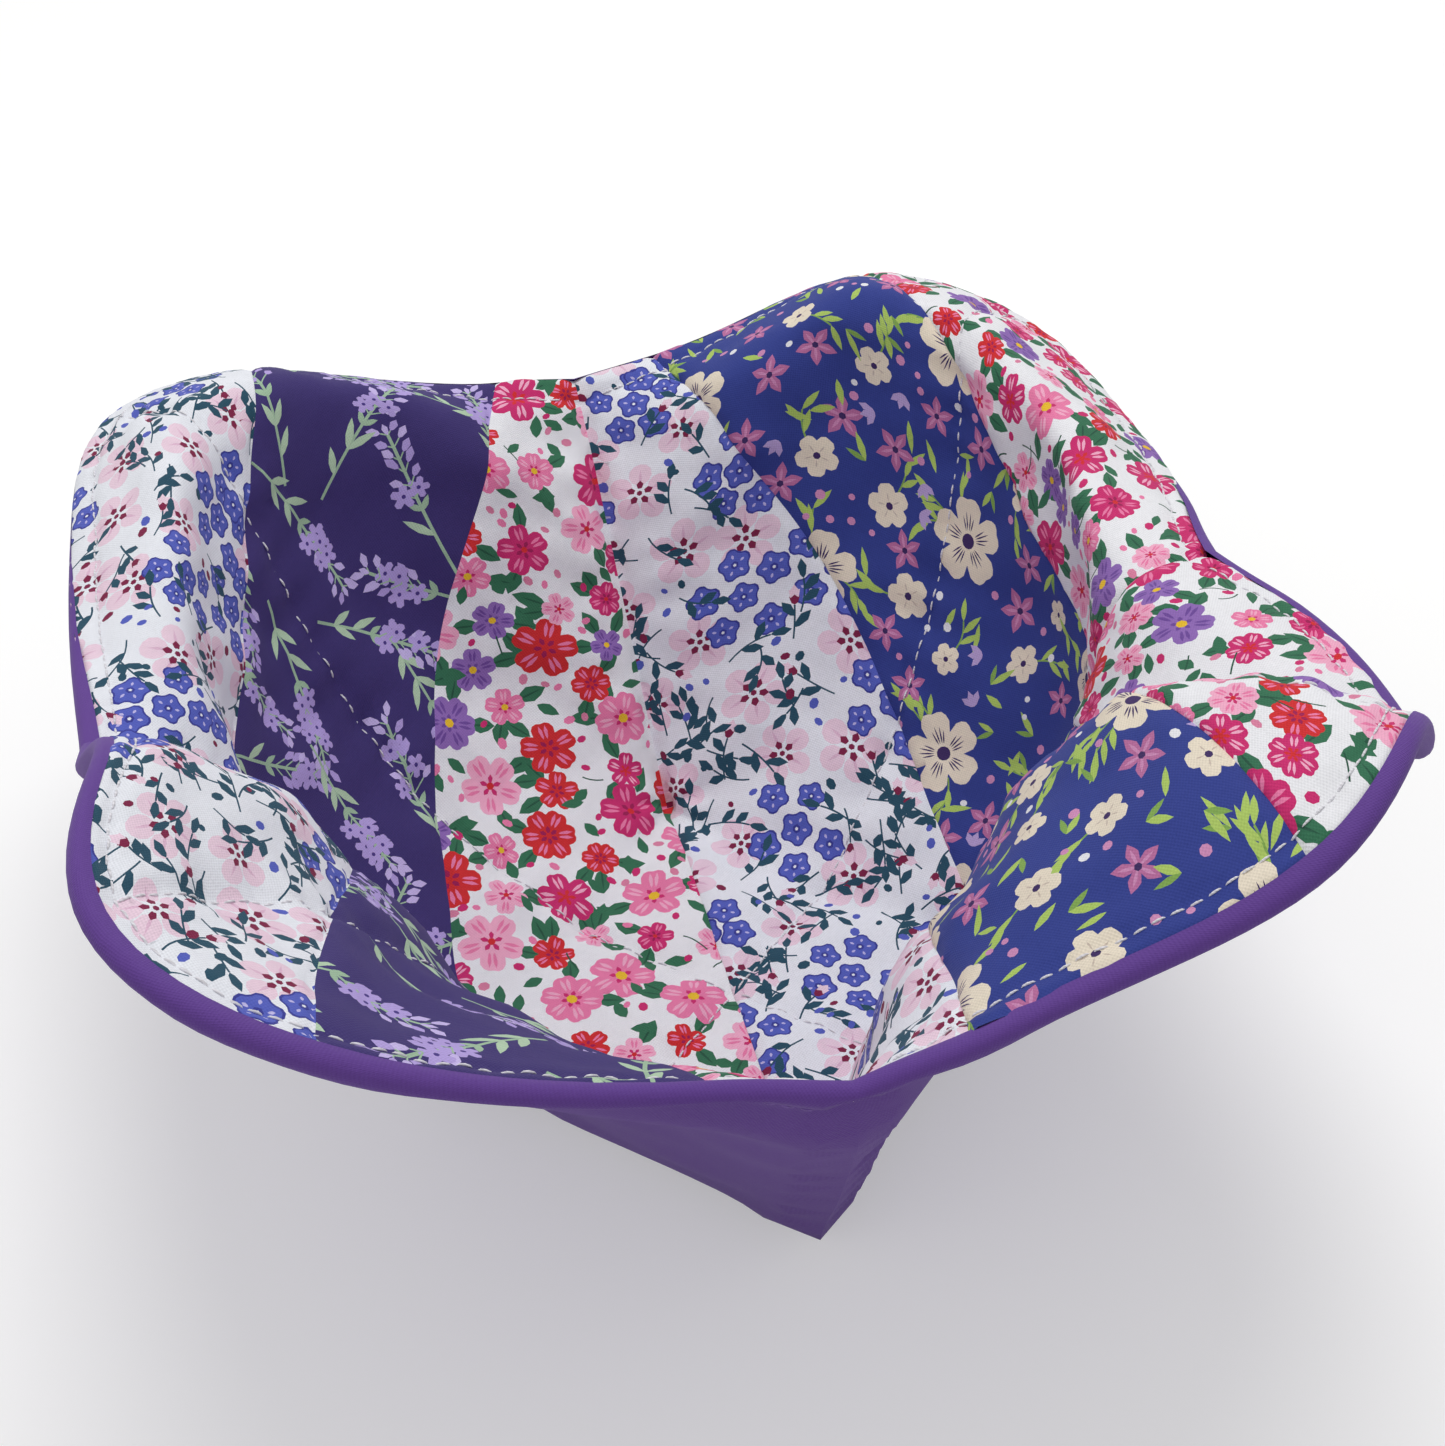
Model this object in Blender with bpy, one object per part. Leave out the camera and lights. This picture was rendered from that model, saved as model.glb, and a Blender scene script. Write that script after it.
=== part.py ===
"""Microwave bowl cozy: two quilted squares, each darted at the middle of its four sides so that it
cups into a bowl with a flat diamond foot and four flaring corner lobes, joined round the rim.

Every layer is one flat pattern, laid over the same form and set outwards by its depth in the stack.
Frame: origin at the middle of the foot, on the table. +Y is the back, +X the right, +Z up. Metres.
"""

import math

import bmesh
import bpy
import numpy as np
from mathutils import Vector
from mathutils.geometry import delaunay_2d_cdt

MM = 0.001

# Flat pattern of one square, finished sizes
STRIP_WIDTH = 40 * MM
STRIP_COUNT = 6
HALF_SQUARE = STRIP_WIDTH * STRIP_COUNT / 2
CORNER_RADIUS = 40 * MM
DART_HALF_WIDTH = 26 * MM
FOOT_REACH = 45 * MM
FOOT_SOFTNESS = 6 * MM

# Stack of layers, from the lining's face outwards
LINING_CLOTH = 0.6 * MM
OUTER_CLOTH = 0.8 * MM
BATTING_LOFT = 1.7 * MM
BATTING_AT_RIM = 0.5 * MM
LAYER_CLEARANCE = 0.3 * MM

# Rim: the outer cloth rolls over the edge, wide at the front and narrow at the back
RIM_STITCH_INSET = 4.5 * MM
RIM_PUFF_RUN = 11 * MM
RIM_BAND = 3.6 * MM
ROLL_FRONT = 2.8 * MM
ROLL_BACK = 1.3 * MM
EDGE_ROUND = 0.6 * MM

# Facets
PITCH = 9 * MM
COLUMNS_PER_STRIP = 5
CURVE_STEPS = 33
MITER_SOFTNESS = 0.3  # pulls a point's step outwards towards the mean of its facets, where they disagree

ROOT2 = math.sqrt(2)


# The form is read off at 120 units to half a square, so a unit is a millimetre on this one
FORM_UNIT = HALF_SQUARE / 120


class Rise:
    """How the cloth climbs: its slope at the foot and at the rim, in degrees, and how far each slope reaches."""

    def __init__(self, foot_slope, rim_slope, foot_pull, rim_pull):
        self.slopes = math.radians(foot_slope), math.radians(rim_slope)
        self.pulls = foot_pull, rim_pull


class Lobe:
    """One corner: its rim from dart to dart as out along the diagonal, side and height, and its middle's rise."""

    def __init__(self, rim, rise):
        self.rim = np.array(rim) * FORM_UNIT
        self.rise = rise


class Dart:
    """One sewn dart: its rim end as reach, swing and height, and its seam's rise."""

    def __init__(self, end, rise):
        self.end = np.array(end) * FORM_UNIT
        self.rise = rise


# Lobes anticlockwise from the back right, each from one dart to the next, heights over the lining's foot
LOBES = (
    Lobe(
        ((80, -31, 56), (102, -13, 54), (115, 11, 57), (105, 35, 63), (83, 51, 60)),
        Rise(30, -28, 0.80, 0.60),
    ),
    Lobe(
        ((87, -44, 59), (109, -27, 61), (116, -3, 61), (101, 21, 60), (83, 40, 59)),
        Rise(18, -30, 0.78, 0.50),
    ),
    Lobe(
        ((74, -44, 77), (87, -26, 93), (108, -7, 95), (107, 17, 88), (88, 37, 77)),
        Rise(64, 24, 0.30, 0.30),
    ),
    Lobe(
        ((74, -49, 76), (92, -29, 86), (93, -4, 89), (89, 17, 71), (73, 39, 64)),
        Rise(84, -6, 0.32, 0.42),
    ),
)
# Darts at the right, back, left and front
DARTS = (
    Dart((73, 7, 62), Rise(45, -12, 0.55, 0.55)),
    Dart((92, 4, 55), Rise(40, 34, 0.16, 0.18)),
    Dart((85, -3, 61), Rise(27, 20, 0.43, 0.42)),
    Dart((87, -8, 69), Rise(70, 54, 0.23, 0.24)),
)

# Worked out from the sizes above
DART_ANGLE = math.atan2(DART_HALF_WIDTH, HALF_SQUARE - FOOT_REACH)
DART_SLANT = DART_HALF_WIDTH / (HALF_SQUARE - FOOT_REACH)
PANEL_HALF_ANGLE = math.pi / 4 - DART_ANGLE
APEX = -FOOT_REACH * math.sin(DART_ANGLE) / (math.cos(DART_ANGLE) - math.sin(DART_ANGLE))
STACK = LINING_CLOTH + OUTER_CLOTH + 2 * BATTING_LOFT + 3 * LAYER_CLEARANCE
STRAIGHT_RIM = HALF_SQUARE - CORNER_RADIUS - DART_HALF_WIDTH
CORNER_ARC = CORNER_RADIUS * math.pi / 2
QUARTER_RIM = 2 * STRAIGHT_RIM + CORNER_ARC

STRIPS = (
    ("lining_strip_white_left", (0.80, 0.81, 0.90)),
    ("lining_strip_plum", (0.042, 0.030, 0.15)),
    ("lining_strip_pink_left", (0.80, 0.72, 0.78)),
    ("lining_strip_white_middle", (0.80, 0.81, 0.90)),
    ("lining_strip_blue", (0.034, 0.054, 0.26)),
    ("lining_strip_pink_right", (0.80, 0.72, 0.78)),
)
PURPLE = (0.16, 0.075, 0.36)
BATTING_CREAM = (0.78, 0.74, 0.66)


def quarter_turns(points, count):
    """Points of the plan turned anticlockwise by right angles."""
    x, y = points[:, 0], points[:, 1]
    return np.stack(((x, y), (-y, x), (-x, -y), (y, -x))[count % 4], axis=1)


def smooth(value):
    value = np.clip(value, 0, 1)
    return value * value * (3 - 2 * value)


def quarter_of(points):
    """Which corner of the square each flat point is in, anticlockwise from the back right."""
    right, back = points[:, 0] >= 0, points[:, 1] >= 0
    return np.where(right, np.where(back, 0, 3), np.where(back, 1, 2))


def rim_inset(points):
    """How far each flat point lies inside the rounded square's edge."""
    corner = np.abs(points) - (HALF_SQUARE - CORNER_RADIUS)
    beyond = np.linalg.norm(np.maximum(corner, 0), axis=1)
    return CORNER_RADIUS - beyond - np.minimum(corner.max(axis=1), 0)


def dart_distance(points):
    """How far each flat point lies from the cut-away darts, negative inside one."""
    along, across = np.abs(points).max(axis=1), np.abs(points).min(axis=1)
    return across * math.cos(DART_ANGLE) - (along - FOOT_REACH) * math.sin(DART_ANGLE)


def natural_spline(knots, where):
    """Points at each place from 0 to 1 on the smooth curve through evenly spread knots."""
    count = len(knots)
    left, right = np.eye(count), np.zeros((count, count))
    for i in range(1, count - 1):
        left[i, i - 1 : i + 2] = 1, 4, 1
        right[i, i - 1 : i + 2] = 6, -12, 6
    bend = np.linalg.solve(left, right) @ knots
    where = np.clip(where, 0, 1) * (count - 1)
    i = np.clip(where.astype(int), 0, count - 2)
    f = (where - i)[:, None]
    line = knots[i] * (1 - f) + knots[i + 1] * f
    return line + ((1 - f) ** 3 - (1 - f)) * bend[i] / 6 + (f**3 - f) * bend[i + 1] / 6


def rim_along(turned):
    """For rays from the panel's apex, the distance to the rim and the share of the quarter rim there."""
    heading = math.pi / 4 + turned
    cos, sin = np.cos(heading), np.sin(heading)
    straight = HALF_SQUARE - CORNER_RADIUS
    to_side = (HALF_SQUARE - APEX) / cos
    to_back = (HALF_SQUARE - APEX) / sin
    reach = (straight - APEX) * (cos + sin)
    inside = np.maximum(reach**2 - 2 * (straight - APEX) ** 2 + CORNER_RADIUS**2, 0)
    on_side = APEX + to_side * sin <= straight
    on_back = ~on_side & (APEX + to_back * cos <= straight)
    length = np.where(on_side, to_side, np.where(on_back, to_back, reach + np.sqrt(inside)))
    x, y = APEX + length * cos, APEX + length * sin
    arc = CORNER_RADIUS * np.arctan2(y - straight, x - straight)
    place = np.where(
        on_side,
        y - DART_HALF_WIDTH,
        np.where(on_back, QUARTER_RIM - (x - DART_HALF_WIDTH), STRAIGHT_RIM + arc),
    )
    return length, place / QUARTER_RIM


def in_lobe(vector, side):
    """A dart's reach, swing and height in a lobe's own out, side and up; side is -1 at the lobe's first dart."""
    reach, swing, up = vector
    x, y = (reach, swing) if side < 0 else (-swing, reach)
    return np.array(((x + y) / ROOT2, (y - x) / ROOT2, up))


def unit(vectors):
    return vectors / np.linalg.norm(vectors, axis=-1, keepdims=True)


def dart_slope(dart, slope):
    """Which way a dart's seam heads at a slope, in its own reach, swing and height."""
    reach, swing = unit(dart.end[:2] - (FOOT_REACH, 0))
    return reach * math.cos(slope), swing * math.cos(slope), math.sin(slope)


def panel(number, flat):
    """Places on the lining's face for flat points of one corner, turned into the first quarter."""
    lobe = LOBES[number]
    darts = (DARTS[number], -1), (DARTS[(number + 1) % 4], 1)
    ends = [in_lobe(dart.end, side) for dart, side in darts]
    knots = np.array((ends[0], *lobe.rim, ends[1]))
    foot, apex = FOOT_REACH / ROOT2, APEX * ROOT2
    out, side = (flat[:, 0] + flat[:, 1]) / ROOT2, (flat[:, 1] - flat[:, 0]) / ROOT2
    turned = np.clip(np.arctan2(side, out - apex), -PANEL_HALF_ANGLE, PANEL_HALF_ANGLE)
    cos, sin = np.cos(turned), np.sin(turned)
    nearness = np.abs(turned / PANEL_HALF_ANGLE) ** 3
    at_dart = nearness[:, None]
    start = (foot - apex) / cos - FOOT_SOFTNESS * (1 - nearness)
    to_rim, share = rim_along(turned)
    along = (np.hypot(side, out - apex) - start) / (to_rim - start)

    # At the foot and at the rim: the lobe's own heading and pull in its middle, each dart's beside it
    headings, pulls = [], []
    for end in range(2):
        slope = lobe.rise.slopes[end]
        middle = unit(np.stack((cos * math.cos(slope), sin, cos * math.sin(slope)), axis=1))
        first, last = (in_lobe(dart_slope(dart, dart.rise.slopes[end]), at) for dart, at in darts)
        seam = np.where(turned[:, None] < 0, first, last)
        headings.append(unit(middle * (1 - at_dart) + seam * at_dart))
        seam_pull = np.where(turned < 0, darts[0][0].rise.pulls[end], darts[1][0].rise.pulls[end])
        pull = lobe.rise.pulls[end] * (1 - nearness) + seam_pull * nearness
        pulls.append((pull * (to_rim - start))[:, None])

    inside = np.stack((apex + start * cos, start * sin, 0 * out), axis=1)
    edge = np.stack((np.full(len(out), foot), (foot - apex) * np.tan(turned), 0 * out), axis=1)
    rim = natural_spline(knots, share)
    controls = (inside, edge, edge + headings[0] * pulls[0], rim - headings[1] * pulls[1], rim)
    t = np.linspace(0, 1, CURVE_STEPS)[:, None, None]
    curve = sum(
        math.comb(4, i) * t**i * (1 - t) ** (4 - i) * point for i, point in enumerate(controls)
    )

    # Lay the cloth along each curve at its own length
    pieces = np.linalg.norm(np.diff(curve, axis=0), axis=2)
    gone = np.vstack((np.zeros(len(out)), np.cumsum(pieces, axis=0)))
    wanted = np.clip(along, 0, 1) * gone[-1]
    step = np.clip((gone <= wanted).sum(axis=0) - 1, 0, CURVE_STEPS - 2)
    every = np.arange(len(out))
    f = ((wanted - gone[step, every]) / pieces[step, every])[:, None]
    place = curve[step, every] * (1 - f) + curve[step + 1, every] * f
    plan = np.stack((place[:, 0] - place[:, 1], place[:, 0] + place[:, 1]), axis=1) / ROOT2
    laid = np.column_stack((plan, place[:, 2]))
    flat_foot = np.column_stack((flat, 0 * out))
    return np.where((along > 0)[:, None], laid, flat_foot)


def lay(flat, quarters):
    """Flat points of the pattern laid on the form of the lining's face."""
    placed = np.zeros((len(flat), 3))
    for number in range(4):
        mine = quarters == number
        if mine.any():
            spot = panel(number, quarter_turns(flat[mine], -number))
            spot[:, :2] = quarter_turns(spot[:, :2], number)
            placed[mine] = spot
    placed[:, 2] += STACK
    return placed


def spread(breaks, pitch):
    """Places from one break to the next, no further apart than about the pitch."""
    places = []
    for low, high in zip(breaks[:-1], breaks[1:]):
        count = max(1, round((high - low) / pitch))
        places += [low + (high - low) * i / count for i in range(count)]
    return places + [breaks[-1]]


def rim_point(place, inset):
    """The flat point at a length along the first quarter's rim, from dart to dart, set in from the edge."""
    straight = HALF_SQUARE - CORNER_RADIUS
    if place <= STRAIGHT_RIM:
        x, y = HALF_SQUARE - inset, DART_HALF_WIDTH + place
    elif place >= STRAIGHT_RIM + CORNER_ARC:
        x, y = DART_HALF_WIDTH + QUARTER_RIM - place, HALF_SQUARE - inset
    else:
        angle = (place - STRAIGHT_RIM) / CORNER_RADIUS
        x = straight + (CORNER_RADIUS - inset) * math.cos(angle)
        y = straight + (CORNER_RADIUS - inset) * math.sin(angle)
    slip = inset * DART_SLANT
    if place <= 0:
        y -= slip
    if place >= QUARTER_RIM:
        x -= slip
    return x, y


def seam_places():
    """Lengths along the first quarter's rim, read towards the back, where a strip seam meets it."""
    straight = HALF_SQUARE - CORNER_RADIUS
    places = []
    for i in range(1, STRIP_COUNT // 2):
        x = i * STRIP_WIDTH
        if x > straight:
            angle = math.acos((x - straight) / CORNER_RADIUS)
            places.append(STRAIGHT_RIM + CORNER_RADIUS * angle)
        elif x > DART_HALF_WIDTH:
            places.append(QUARTER_RIM - (x - DART_HALF_WIDTH))
    return places


class Pattern:
    """The flat square with its darts cut away, in triangles whose edges follow every seam."""

    def __init__(self):
        self.points, self.quarter, self.edges = [], [], []
        self.rim, self.ring = [], []
        self.partner = {}
        self.cut_rim()
        self.cut_darts()
        self.fill()
        self.triangulate()
        self.weld()

    def add(self, x, y, quarter):
        self.points.append((x, y))
        self.quarter.append(quarter)
        return len(self.points) - 1

    def add_turned(self, point, quarter):
        x, y = quarter_turns(np.array((point,)), quarter)[0]
        return self.add(x, y, quarter)

    def cut_rim(self):
        """The edge and a second line inside it, quarter by quarter."""
        seams = seam_places()
        for quarter in range(4):
            mine = seams if quarter % 2 == 0 else [QUARTER_RIM - place for place in seams]
            breaks = sorted({0, QUARTER_RIM, STRAIGHT_RIM, STRAIGHT_RIM + CORNER_ARC, *mine})
            near = [
                b
                for b in breaks
                if b in mine or b in (0, QUARTER_RIM) or min(abs(b - s) for s in mine) > PITCH / 3
            ]
            places = spread(near, PITCH)
            for line, inset in ((self.rim, 0), (self.ring, RIM_BAND)):
                made = [self.add_turned(rim_point(place, inset), quarter) for place in places]
                self.edges += zip(made[:-1], made[1:])
                line.append(made)

    def cut_darts(self):
        """Both legs of every dart, with a point wherever a strip seam meets them."""
        seams = [i * STRIP_WIDTH for i in range(1, STRIP_COUNT // 2)]
        end = HALF_SQUARE - RIM_BAND
        marks = [x for x in seams if FOOT_REACH + PITCH / 3 < x < end - PITCH / 3]
        places = spread([FOOT_REACH, *marks, end], PITCH)[1:-1]
        self.legs = []
        for quarter in range(4):
            tip = self.add_turned((FOOT_REACH, 0), quarter)
            after = [self.add_turned((x, (x - FOOT_REACH) * DART_SLANT), quarter) for x in places]
            before = []
            for x in places:
                mirrored = quarter_turns(np.array(((x, -(x - FOOT_REACH) * DART_SLANT),)), quarter)[0]
                before.append(self.add(*mirrored, (quarter - 1) % 4))
            after += [self.ring[quarter][0], self.rim[quarter][0]]
            before += [self.ring[quarter - 1][-1], self.rim[quarter - 1][-1]]
            for leg in (after, before):
                self.edges += zip([tip, *leg[:-1]], leg)
            self.partner.update(zip(before, after))
            self.legs.append((after, before))

    def fill(self):
        """Rows and columns inside, with a column on every strip seam."""
        step = STRIP_WIDTH / COLUMNS_PER_STRIP
        columns = np.arange(-STRIP_COUNT * COLUMNS_PER_STRIP // 2, STRIP_COUNT * COLUMNS_PER_STRIP // 2 + 1)
        rows = np.arange(-int(HALF_SQUARE / PITCH), int(HALF_SQUARE / PITCH) + 1)
        for column in columns:
            on_seam = column % COLUMNS_PER_STRIP == 0
            room = PITCH * (0.3 if on_seam else 0.5)
            for row in rows:
                spot = np.array(((column * step, row * PITCH),))
                clear = rim_inset(spot)[0] > RIM_BAND + room and dart_distance(spot)[0] > room
                if clear:
                    self.add(*spot[0], int(quarter_of(spot)[0]))

    def triangulate(self):
        flat = np.array(self.points)
        result = delaunay_2d_cdt([Vector(p) for p in flat], self.edges, [], 0, 1e-7)
        corners, faces, sources = result[0], result[2], result[3]
        source = {i: s[0] for i, s in enumerate(sources) if s}
        if len(source) < len(corners):
            raise ValueError("two pattern lines cross")
        triangles = np.array([[source[i] for i in face] for face in faces])
        centres = flat[triangles].mean(axis=1)
        keep = (rim_inset(centres) > 0) & (dart_distance(centres) > 0)
        self.flat = flat
        self.triangles = triangles[keep]
        self.quarter = np.array(self.quarter)

    def weld(self):
        """Close the darts: the second leg of each takes the places of the first."""
        self.same = np.arange(len(self.flat))
        for before, after in self.partner.items():
            self.same[before] = after

    def thickness_directions(self, placed):
        """At each point the step outwards that moves every facet round it by the same unit distance."""
        welded = self.same[self.triangles]
        a, b, c = (placed[welded[:, i]] for i in range(3))
        facing = unit(np.cross(b - a, c - a))
        count = len(self.flat)
        total, squares = np.zeros((count, 3)), np.zeros((count, 3, 3))
        outer = facing[:, :, None] * facing[:, None, :]
        for i in range(3):
            np.add.at(total, welded[:, i], facing)
            np.add.at(squares, welded[:, i], outer)
        direction = np.zeros((count, 3))
        used = np.unique(welded)
        soft = MITER_SOFTNESS * np.eye(3)
        right = total[used] + MITER_SOFTNESS * unit(total[used])
        direction[used] = -np.linalg.solve(squares[used] + soft, right[:, :, None])[:, :, 0]
        direction[:, 2] = np.maximum(direction[:, 2], -1)
        return direction[self.same]


def batting_depth(inset):
    """How thick each batting is: pressed flat by the stitching at the rim, full further in."""
    puff = smooth((inset - RIM_STITCH_INSET) / RIM_PUFF_RUN)
    return BATTING_AT_RIM + (BATTING_LOFT - BATTING_AT_RIM) * puff


def layer_depths(inset):
    """Depth from the lining's face to the inner and outer face of each layer."""
    loft = batting_depth(inset)
    lining = 0 * loft, 0 * loft + LINING_CLOTH
    inner = lining[1] + LAYER_CLEARANCE, lining[1] + LAYER_CLEARANCE + loft
    middle = inner[1] + LAYER_CLEARANCE, inner[1] + LAYER_CLEARANCE + loft
    outer = middle[1] + LAYER_CLEARANCE, middle[1] + LAYER_CLEARANCE + OUTER_CLOTH
    return {"lining": lining, "lining_batting": inner, "outer_batting": middle, "outer": outer}


def roll_width(flat):
    """How far the outer cloth comes over the rim onto the inside."""
    return ROLL_FRONT + (ROLL_BACK - ROLL_FRONT) * smooth(flat[:, 1] / HALF_SQUARE * 0.5 + 0.5)


def material(name, colour, roughness):
    made = bpy.data.materials.new(name)
    made.use_nodes = True
    shader = made.node_tree.nodes["Principled BSDF"]
    shader.inputs["Base Color"].default_value = (*colour, 1)
    shader.inputs["Roughness"].default_value = roughness
    shader.inputs["Metallic"].default_value = 0
    made.diffuse_color = (*colour, 1)
    return made


def solid(name, corners, faces, colour, roughness=0.9):
    """One closed cloth body from its corners and facets."""
    shape = bmesh.new()
    made = [shape.verts.new(corner) for corner in corners]
    for face in faces:
        shape.faces.new([made[i] for i in face])
    bmesh.ops.delete(shape, geom=[v for v in shape.verts if not v.link_faces], context="VERTS")
    mesh = bpy.data.meshes.new(name)
    shape.to_mesh(mesh)
    shape.free()
    mesh.shade_smooth()
    mesh.set_sharp_from_angle(angle=math.radians(50))
    mesh.materials.append(material(name, colour, roughness))
    piece = bpy.data.objects.new(name, mesh)
    bpy.context.collection.objects.link(piece)
    return piece


def open_edges(triangles):
    """Directed edges of the triangles that no other triangle shares."""
    seen = {}
    for triangle in triangles:
        for i in range(3):
            edge = int(triangle[i]), int(triangle[(i + 1) % 3])
            seen[edge] = True
    return [edge for edge in seen if edge[::-1] not in seen]


def closed_shell(name, triangles, inner, outer, between, colour):
    """Join an inner and an outer face along their open edges, through the points between them."""
    count = len(inner)
    corners = [*inner, *outer]
    rows = {}
    for edge in open_edges(triangles):
        for i in edge:
            if i not in rows:
                first = len(corners)
                extra = between(i)
                corners += extra
                rows[i] = [i, *range(first, first + len(extra)), i + count]
    faces = [tuple(triangle) for triangle in triangles]
    faces += [tuple(i + count for i in triangle[::-1]) for triangle in triangles]
    for a, b in open_edges(triangles):
        for (p, q), (r, s) in zip(
            zip(rows[a][:-1], rows[a][1:]), zip(rows[b][:-1], rows[b][1:])
        ):
            faces += [(r, p, q), (r, q, s)]
    return solid(name, corners, faces, colour)


class Cozy:
    def __init__(self):
        self.pattern = Pattern()
        flat, quarters = self.pattern.flat, self.pattern.quarter
        self.face = lay(flat, quarters)[self.pattern.same]
        self.outwards = self.pattern.thickness_directions(self.face)
        self.inset = rim_inset(flat)
        self.rim_index = {}
        for quarter, line in enumerate(self.pattern.rim):
            for place, index in zip(self.pattern_places(quarter), line):
                self.rim_index[index] = quarter, place

    def pattern_places(self, quarter):
        """Lengths along a quarter's rim of its rim points."""
        turned = quarter_turns(self.pattern.flat[self.pattern.rim[quarter]], -quarter)
        steps = []
        straight = HALF_SQUARE - CORNER_RADIUS
        for x, y in turned:
            if y <= straight:
                steps.append(y - DART_HALF_WIDTH)
            elif x <= straight:
                steps.append(QUARTER_RIM - (x - DART_HALF_WIDTH))
            else:
                steps.append(STRAIGHT_RIM + CORNER_RADIUS * math.atan2(y - straight, x - straight))
        steps[0], steps[-1] = 0, QUARTER_RIM
        return steps

    def at_rim(self, index, inset, depth):
        """The place near a rim point that is set in from the edge and down from the lining's face."""
        index = int(self.pattern.same[index])
        quarter, place = self.rim_index[index]
        flat = quarter_turns(np.array((rim_point(place, inset),)), quarter)
        spot = lay(flat, np.array((quarter,)))[0]
        return spot + self.outwards[index] * depth

    def layer_faces(self, layer, rim_end):
        """The two faces of a layer, ending at a given distance from the rim."""
        near, far = layer_depths(self.inset)[layer]
        inner = self.face + self.outwards * near[:, None]
        outer = self.face + self.outwards * far[:, None]
        edge_near, edge_far = (float(d[0]) for d in layer_depths(np.zeros(1))[layer])
        for index in self.rim_index:
            end = rim_end(index)
            inner[index] = self.at_rim(index, end, edge_near)
            outer[index] = self.at_rim(index, end, edge_far)
        return inner, outer

    def welded_triangles(self):
        return self.pattern.same[self.pattern.triangles]

    def batting(self, layer):
        end = OUTER_CLOTH + 2 * LAYER_CLEARANCE
        inner, outer = self.layer_faces(layer, lambda index: end)
        return closed_shell(
            layer, self.welded_triangles(), inner, outer, lambda index: [], BATTING_CREAM
        )

    def outer_shell(self):
        """The plain outer: it rounds the rim and ends in a narrow lip on the inside."""
        deepest = float(layer_depths(np.zeros(1))["outer"][1][0])
        inner, outer = self.layer_faces("outer", lambda index: OUTER_CLOTH + LAYER_CLEARANCE)
        roll = roll_width(self.pattern.flat)
        for index in self.rim_index:
            outer[index] = self.at_rim(index, EDGE_ROUND, deepest)

        def round_the_edge(index):
            sections = (
                (OUTER_CLOTH + LAYER_CLEARANCE, LINING_CLOTH),
                (roll[index], LINING_CLOTH),
                (roll[index], 0),
                (EDGE_ROUND, 0),
                (0, EDGE_ROUND),
                (0, deepest - EDGE_ROUND),
            )
            return [self.at_rim(index, inset, depth) for inset, depth in sections]

        return closed_shell(
            "outer_shell", self.welded_triangles(), inner, outer, round_the_edge, PURPLE
        )

    def strip(self, number):
        """One printed strip of the lining, with its share of any dart sewn shut."""
        name, colour = STRIPS[number]
        left = -HALF_SQUARE + number * STRIP_WIDTH
        right = left + STRIP_WIDTH
        pattern = self.pattern
        centres = pattern.flat[pattern.triangles].mean(axis=1)[:, 0]
        mine = pattern.triangles[(centres > left) & (centres < right)]
        half_gap = LAYER_CLEARANCE / 2
        roll = roll_width(pattern.flat)
        inner, outer = self.layer_faces("lining", lambda index: roll[index] + LAYER_CLEARANCE)

        # The strips on each side of the centre seam meet along the front and back darts
        sewn_dart = {i for leg in (1, 3) for side in pattern.legs[leg] for i in side}
        same = np.array([i if i in sewn_dart else pattern.same[i] for i in range(len(pattern.flat))])
        shift = np.zeros((len(pattern.flat), 2))
        used = np.unique(mine)
        for i in used:
            x = pattern.flat[i, 0]
            if abs(x) > HALF_SQUARE - half_gap:
                continue
            if abs(x - left) < half_gap or (i in sewn_dart and x > 0):
                shift[i, 0] = half_gap
            elif abs(x - right) < half_gap or i in sewn_dart:
                shift[i, 0] = -half_gap
        moved = [i for i in used if shift[i, 0] != 0]
        for i in moved:
            if same[i] != i:
                continue
            spot = pattern.flat[i] + shift[i]
            if pattern.same[i] in self.rim_index:
                end = roll[i] + LAYER_CLEARANCE
                spot[1] -= math.copysign(end, spot[1])
                if i in sewn_dart:
                    spot[0] -= math.copysign(end * DART_SLANT, spot[0])
            place = lay(spot[None], pattern.quarter[[i]])[0]
            near, far = (d[0] for d in layer_depths(self.inset[[i]])["lining"])
            inner[i] = place + self.outwards[i] * near
            outer[i] = place + self.outwards[i] * far
        return closed_shell(name, same[mine], inner, outer, lambda index: [], colour)


def clear_scene():
    for thing in list(bpy.data.objects):
        bpy.data.objects.remove(thing, do_unlink=True)


def build():
    clear_scene()
    cozy = Cozy()
    cozy.outer_shell()
    cozy.batting("outer_batting")
    cozy.batting("lining_batting")
    for number in range(STRIP_COUNT):
        cozy.strip(number)


build()
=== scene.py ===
"""Microwave bowl cozy, dressed: printed patchwork lining, purple outer, batting, quilting and topstitch.

The flat pattern and the form that it is laid on are those of the solids. Each cloth is one flat mesh, with
its print drawn as outlines in the pattern, laid on the form and set off by its depth in the stack. Metres.
"""

import math
import random

import bpy
import numpy as np
from mathutils import Matrix, Vector
from mathutils.geometry import delaunay_2d_cdt


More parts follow.
